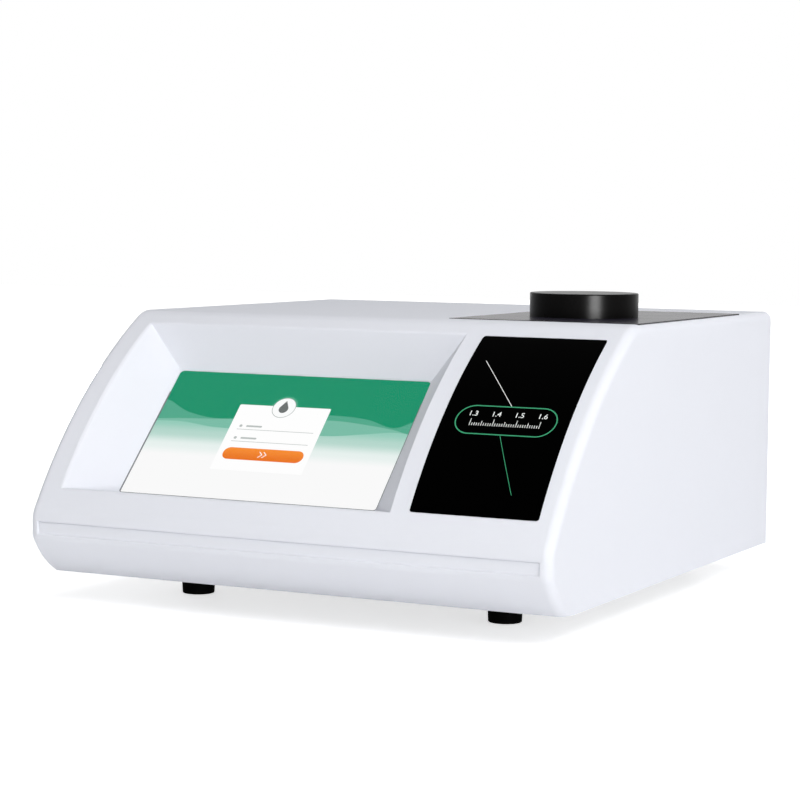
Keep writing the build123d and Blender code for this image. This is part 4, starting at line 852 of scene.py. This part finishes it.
class REFRACTOMETER_OT_badge(bpy.types.Operator):
    """Print the outline, the scale and the two rays on the front panel"""

    bl_idname = "refractometer.badge"
    bl_label = "Front panel print"

    def execute(self, context):
        looks = context.scene.refractometer_looks
        sizes = context.scene.refractometer_sizes
        wide, high, line = (value / MM for value in (sizes.badge_width, sizes.badge_height, sizes.badge_line))
        # Both inks carry a painted glow of strength 0.25.
        green = screen_ink("screen_printed_ink_green", looks.badge_green, 0.25)
        white = screen_ink("screen_printed_ink_white", looks.badge_white, 0.25)

        form = bmesh.new()
        outer = rounded(wide, high, high / 2 - 0.01, BADGE_PLACE, 24)
        inner = rounded(wide - 2 * line, high - 2 * line, high / 2 - line - 0.01, BADGE_PLACE, 24)
        add_band(form, outer, inner, *PRINT_LAYER, on_bow)
        piece("badge_outline", to_mesh("badge_outline", form), green)

        form = bmesh.new()
        first, middle = BADGE_PLACE[0] - SCALE_PITCH * 15, BADGE_PLACE[1]
        for index in range(31):
            x = first + index * SCALE_PITCH
            tall = LONG_TICK if index % 10 == 0 else MIDDLE_TICK if index % 5 == 0 else SHORT_TICK
            tick = rounded(TICK_WIDTH, tall, 0.1, (x, middle - TICK_FOOT + tall / 2), 2)
            add_sheet(form, tick, *PRINT_LAYER, on_bow)
        for index, figure in enumerate(("1.3", "1.4", "1.5", "1.6")):
            place = (first + index * 10 * SCALE_PITCH, middle + FIGURE_LIFT)
            text_mesh(form, figure, FIGURE_HEIGHT, place, *PRINT_LAYER, on_bow)
        piece("badge_scale", to_mesh("badge_scale", form), white)

        for name, start, end, ink in (
            ("ray_in", (114.5, 384.0), (151.1, 338.4), white),
            ("ray_out", (151.1, 310.8), (174.5, 262.0), green),
        ):
            form = bmesh.new()
            left, right = stroke(start, end, RAY_WIDTH)
            add_band(form, left, right, *PRINT_LAYER, on_bow, closed=False)
            piece(f"badge_{name}", to_mesh(f"badge_{name}", form), ink)
        return {"FINISHED"}


# ---------------------------------------------------------------- screws
# The thread's pitch and root as shares of its radius, and the cross's half sizes as shares of the head's.
THREAD_PITCH, THREAD_ROOT = 0.35, 0.84
SLOT_LENGTH, SLOT_WIDTH = 0.56, 0.13


def screw_mesh(name, radius, head_radius, head_height, shank, recess):
    """Pan-head screw with a cross recess: head towards +Z from the origin, threaded shank below."""
    form = bmesh.new()
    profile = [(0, head_height)]
    for step in range(9):
        turn = math.radians(90) * step / 8
        reach = head_radius - 0.45 * head_height * (1 - math.sin(turn))
        profile.append((reach, head_height * (0.35 + 0.65 * math.cos(turn))))
    profile.append((head_radius, 0))
    pitch = radius * THREAD_PITCH
    level = 0.0
    profile.append((radius, 0))
    while level > -shank + 2 * pitch:
        profile.append((radius, level - pitch * 0.25))
        profile.append((radius * THREAD_ROOT, level - pitch * 0.75))
        level -= pitch
    profile += [(radius * 0.8, -shank + pitch), (radius * 0.5, -shank), (0, -shank)]
    lathe(form, profile, Vector(), Vector((0, 0, 1)), 28)
    body = to_mesh(name, form)
    smooth(body)
    cutter_form = bmesh.new()
    for turn in (0, 90):
        turned = Matrix.Rotation(math.radians(turn), 4, "Z")
        long, thin = head_radius * SLOT_LENGTH, head_radius * SLOT_WIDTH
        corners = []
        # The slot is full size above the head and tapers to its floor.
        for half_long, half_thin, height in (
            (long, thin, head_height + 0.2 * MM),
            (long * 0.45, thin * 0.7, head_height - recess),
        ):
            for x, y in ((-1, -1), (1, -1), (1, 1), (-1, 1)):
                corner = Vector((x * half_long, y * half_thin, height))
                corners.append(cutter_form.verts.new(turned @ corner))
        for face in ((3, 2, 1, 0), (4, 5, 6, 7), (0, 1, 5, 4), (1, 2, 6, 5), (2, 3, 7, 6), (3, 0, 4, 7)):
            cutter_form.faces.new([corners[index] for index in face])
    cutter = bpy.data.objects.new("cutter", to_mesh("cutter", cutter_form))
    carrier = bpy.data.objects.new("carrier", body)
    for made in (cutter, carrier):
        bpy.context.scene.collection.objects.link(made)
    cut = carrier.modifiers.new("recess", "BOOLEAN")
    cut.operation = "DIFFERENCE"
    cut.solver = "EXACT"
    cut.use_self = True
    cut.object = cutter
    shape = bpy.data.meshes.new_from_object(carrier.evaluated_get(bpy.context.evaluated_depsgraph_get()))
    for made in (cutter, carrier):
        bpy.data.objects.remove(made)
    return shape


# Nodes of the screws that show, and the axis they lie along.
VISIBLE_SCREWS = (("rear_screws", "Y"), ("fan_screws", "Y"), ("base_screws", "Z"), ("foot_screws", "Z"))
# Across the head over across the thread, as the frame has it.
HEAD_RATIO = 1.9
SMALL_SCREW = 3.5 * MM
SMALL_HEAD, LARGE_HEAD = 2.4 * MM, 2.8 * MM


class REFRACTOMETER_OT_screws(bpy.types.Operator):
    """Replace the plain screws that show with cross-recessed ones"""

    bl_idname = "refractometer.screws"
    bl_label = "Screws"

    def execute(self, context):
        looks = context.scene.refractometer_looks
        recess = context.scene.refractometer_sizes.recess_depth
        zinc = zinc_steel(looks)
        for node, axis in VISIBLE_SCREWS:
            form = bmesh.new()
            for index, (low, high) in enumerate(islands(node)):
                middle = (low + high) / 2
                along = 1 if axis == "Y" else 2
                across = (high.x - low.x) / 2
                diameter = 2 * across / HEAD_RATIO
                head_height = SMALL_HEAD if diameter < SMALL_SCREW else LARGE_HEAD
                shank = high[along] - low[along] - head_height
                shape = screw_mesh("screw", diameter / 2, across, head_height, shank, recess)
                if axis == "Y":
                    place = Vector((middle.x, high.y - head_height, middle.z))
                    turn = Matrix.Rotation(math.radians(-90), 4, "X")
                else:
                    place = Vector((middle.x, middle.y, low.z + head_height))
                    turn = Matrix.Rotation(math.radians(180), 4, "X")
                # Each cross stands at its own angle, as a driver leaves it.
                spin = Matrix.Rotation(math.radians(37 * index + 11), 4, "Z")
                shape.transform(Matrix.Translation(place) @ turn @ spin)
                form.from_mesh(shape)
                bpy.data.meshes.remove(shape)
            name = node.replace("_", "_cross_")
            mesh = plain_mesh(name, form)
            smooth(mesh)
            made = piece(name, mesh, zinc)
            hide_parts(node)
        return {"FINISHED"}


# ---------------------------------------------------------------- studio
# Soft boxes: name, place and size in metres, and whether reflections show them.
SOFT_BOXES = (
    ("front", (0.25, -2.95, 0.18), (1.6, 0.5), False),
    ("key", (2.0, -0.9, 1.8), (1.0, 1.0), True),
    ("side", (2.7, -0.3, 0.3), (1.4, 0.5), False),
    ("top", (0.6, 0.0, 2.5), (1.5, 1.5), True),
    ("back", (-1.9, 2.0, 0.35), (1.6, 0.5), False),
)
EDGE_STRIP_PLACE, EDGE_STRIP_SIZE = (1.70, -1.51, 0.22), (0.8, 0.4)
CAP_MIDDLE = (0.128, 0.03, 0.225)
CAMERA_ROLL = math.radians(0.572)
FLOOR_REACH = 6.0


def soft_box(name, place, size, power, target=(0, 0, 0.12), mirrored=True, lights=True):
    """Rectangular soft box that faces a target; reflections may leave it out, or show it alone."""
    light = bpy.data.lights.new(name, "AREA")
    light.shape = "RECTANGLE"
    light.size, light.size_y = size
    light.energy = power
    made = bpy.data.objects.new(name, light)
    made.location = place
    made.rotation_euler = (Vector(target) - Vector(place)).to_track_quat("-Z", "Y").to_euler()
    made.visible_glossy = mirrored
    made.visible_diffuse = lights
    bpy.context.scene.collection.objects.link(made)


def seen_directly(tree):
    """Share that is 1 for what the camera, a reflection or clear glass shows, and 0 for light on surfaces."""
    path = add_node(tree, "ShaderNodeLightPath").outputs
    either = {0: path["Is Camera Ray"], 1: path["Is Glossy Ray"]}
    shown = add_node(tree, "ShaderNodeMath", either, operation="MAXIMUM").outputs[0]
    either = {0: shown, 1: path["Is Transmission Ray"]}
    return add_node(tree, "ShaderNodeMath", either, operation="MAXIMUM").outputs[0]


class REFRACTOMETER_OT_studio(bpy.types.Operator):
    """Set up the floor, the light and the camera"""

    bl_idname = "refractometer.studio"
    bl_label = "Studio"

    def world(self, scene, ambient):
        """White where it is seen, dimmer as light on the object."""
        world = bpy.data.worlds.new("studio")
        scene.world = world
        world.use_nodes = True
        tree = world.node_tree
        tree.nodes.clear()
        limits = {"Value": seen_directly(tree), "To Min": ambient, "To Max": 1.0}
        level = add_node(tree, "ShaderNodeMapRange", limits)
        inputs = {"Color": (1, 1, 1, 1), "Strength": level.outputs["Result"]}
        ground = add_node(tree, "ShaderNodeBackground", inputs)
        add_node(tree, "ShaderNodeOutputWorld", {"Surface": ground.outputs[0]})

    def floor(self):
        """Pale paper that keeps the object's shadow."""
        form = bmesh.new()
        for x, y in ((-1, -1), (1, -1), (1, 1), (-1, 1)):
            form.verts.new((x * FLOOR_REACH, y * FLOOR_REACH, 0))
        form.faces.new(form.verts)
        mesh = plain_mesh("floor", form)
        floor = bpy.data.objects.new("floor", mesh)
        bpy.context.scene.collection.objects.link(floor)
        made = Finish("matt_paper", "#F4F4F4", 0.9, Specular_IOR_Level=0.1)
        made.grain(1.5, 3.0, relief_mm=0.02)
        seen = seen_directly(made.tree)
        # Distances are in metres. The paper glows more away from the object, so that it meets
        # the background without a line.
        away = made.add("ShaderNodeVectorMath", {0: made.place}, operation="LENGTH").outputs["Value"]
        limits = {"Value": away, "From Min": 0.3, "From Max": 1.6, "To Min": 0.62, "To Max": 1.0}
        rise = made.add("ShaderNodeMapRange", limits).outputs["Result"]
        glow = made.add("ShaderNodeMath", {0: seen, 1: rise}, operation="MULTIPLY")
        made.wire({"Emission Color": (1, 1, 1, 1), "Emission Strength": glow.outputs[0]})
        mesh.materials.append(made.material)

    def camera(self, scene, studio):
        """Camera in front on the right, level with the roof."""
        lens = bpy.data.cameras.new("camera")
        lens.lens = studio.focal_length
        lens.sensor_width = 36.0
        lens.clip_end = 30.0
        camera = bpy.data.objects.new("camera", lens)
        back = (Vector(studio.camera_place) - Vector(studio.camera_target)).normalized()
        right = Vector((0, 0, 1)).cross(back).normalized()
        over = back.cross(right)
        level = right * math.cos(CAMERA_ROLL) + over * math.sin(CAMERA_ROLL)
        upward = over * math.cos(CAMERA_ROLL) - right * math.sin(CAMERA_ROLL)
        turned = Matrix((level, upward, back)).transposed().to_4x4()
        camera.matrix_world = Matrix.Translation(studio.camera_place) @ turned
        scene.collection.objects.link(camera)
        scene.camera = camera

    def execute(self, context):
        scene = context.scene
        studio = scene.refractometer_studio
        self.camera(scene, studio)
        self.floor()
        self.world(scene, studio.ambient)
        for name, place, size, mirrored in SOFT_BOXES:
            soft_box(f"{name}_box", place, size, getattr(studio, f"{name}_power"), mirrored=mirrored)
        # The strip shows in reflections alone: it draws the upright highlight on the side of the cap.
        place, size = EDGE_STRIP_PLACE, EDGE_STRIP_SIZE
        soft_box("edge_strip", place, size, studio.edge_power, CAP_MIDDLE, lights=False)
        scene.view_settings.view_transform = "Standard"
        return {"FINISHED"}


class REFRACTOMETER_PT_panel(bpy.types.Panel):
    """Lists the pieces in the sidebar"""

    bl_idname = "REFRACTOMETER_PT_panel"
    bl_label = "Bench refractometer"
    bl_space_type = "VIEW_3D"
    bl_region_type = "UI"
    bl_category = "Refractometer"

    def draw(self, context):
        scene = context.scene
        for group in (scene.refractometer_looks, scene.refractometer_sizes, scene.refractometer_studio):
            box = self.layout.box()
            for name in group.__annotations__:
                box.prop(group, name)
        for made in PIECES:
            self.layout.operator(made.bl_idname)


PIECES = (
    REFRACTOMETER_OT_studio,
    REFRACTOMETER_OT_case,
    REFRACTOMETER_OT_sample,
    REFRACTOMETER_OT_inside,
    REFRACTOMETER_OT_screen,
    REFRACTOMETER_OT_badge,
    REFRACTOMETER_OT_screws,
)
GROUPS = {
    "refractometer_looks": RefractometerLooks,
    "refractometer_sizes": RefractometerSizes,
    "refractometer_studio": RefractometerStudio,
}


def register():
    """Register the classes and their settings."""
    for made in (*GROUPS.values(), *PIECES, REFRACTOMETER_PT_panel):
        bpy.utils.register_class(made)
    for name, group in GROUPS.items():
        setattr(bpy.types.Scene, name, PointerProperty(type=group))


def unregister():
    """Take the settings and the classes away again."""
    for name in GROUPS:
        delattr(bpy.types.Scene, name)
    for made in (REFRACTOMETER_PT_panel, *reversed(PIECES), *reversed(GROUPS.values())):
        bpy.utils.unregister_class(made)


def main():
    """Run every operator in order."""
    register()
    for made in PIECES:
        group, name = made.bl_idname.split(".")
        getattr(getattr(bpy.ops, group), name)()


if __name__ == "__main__":
    main()
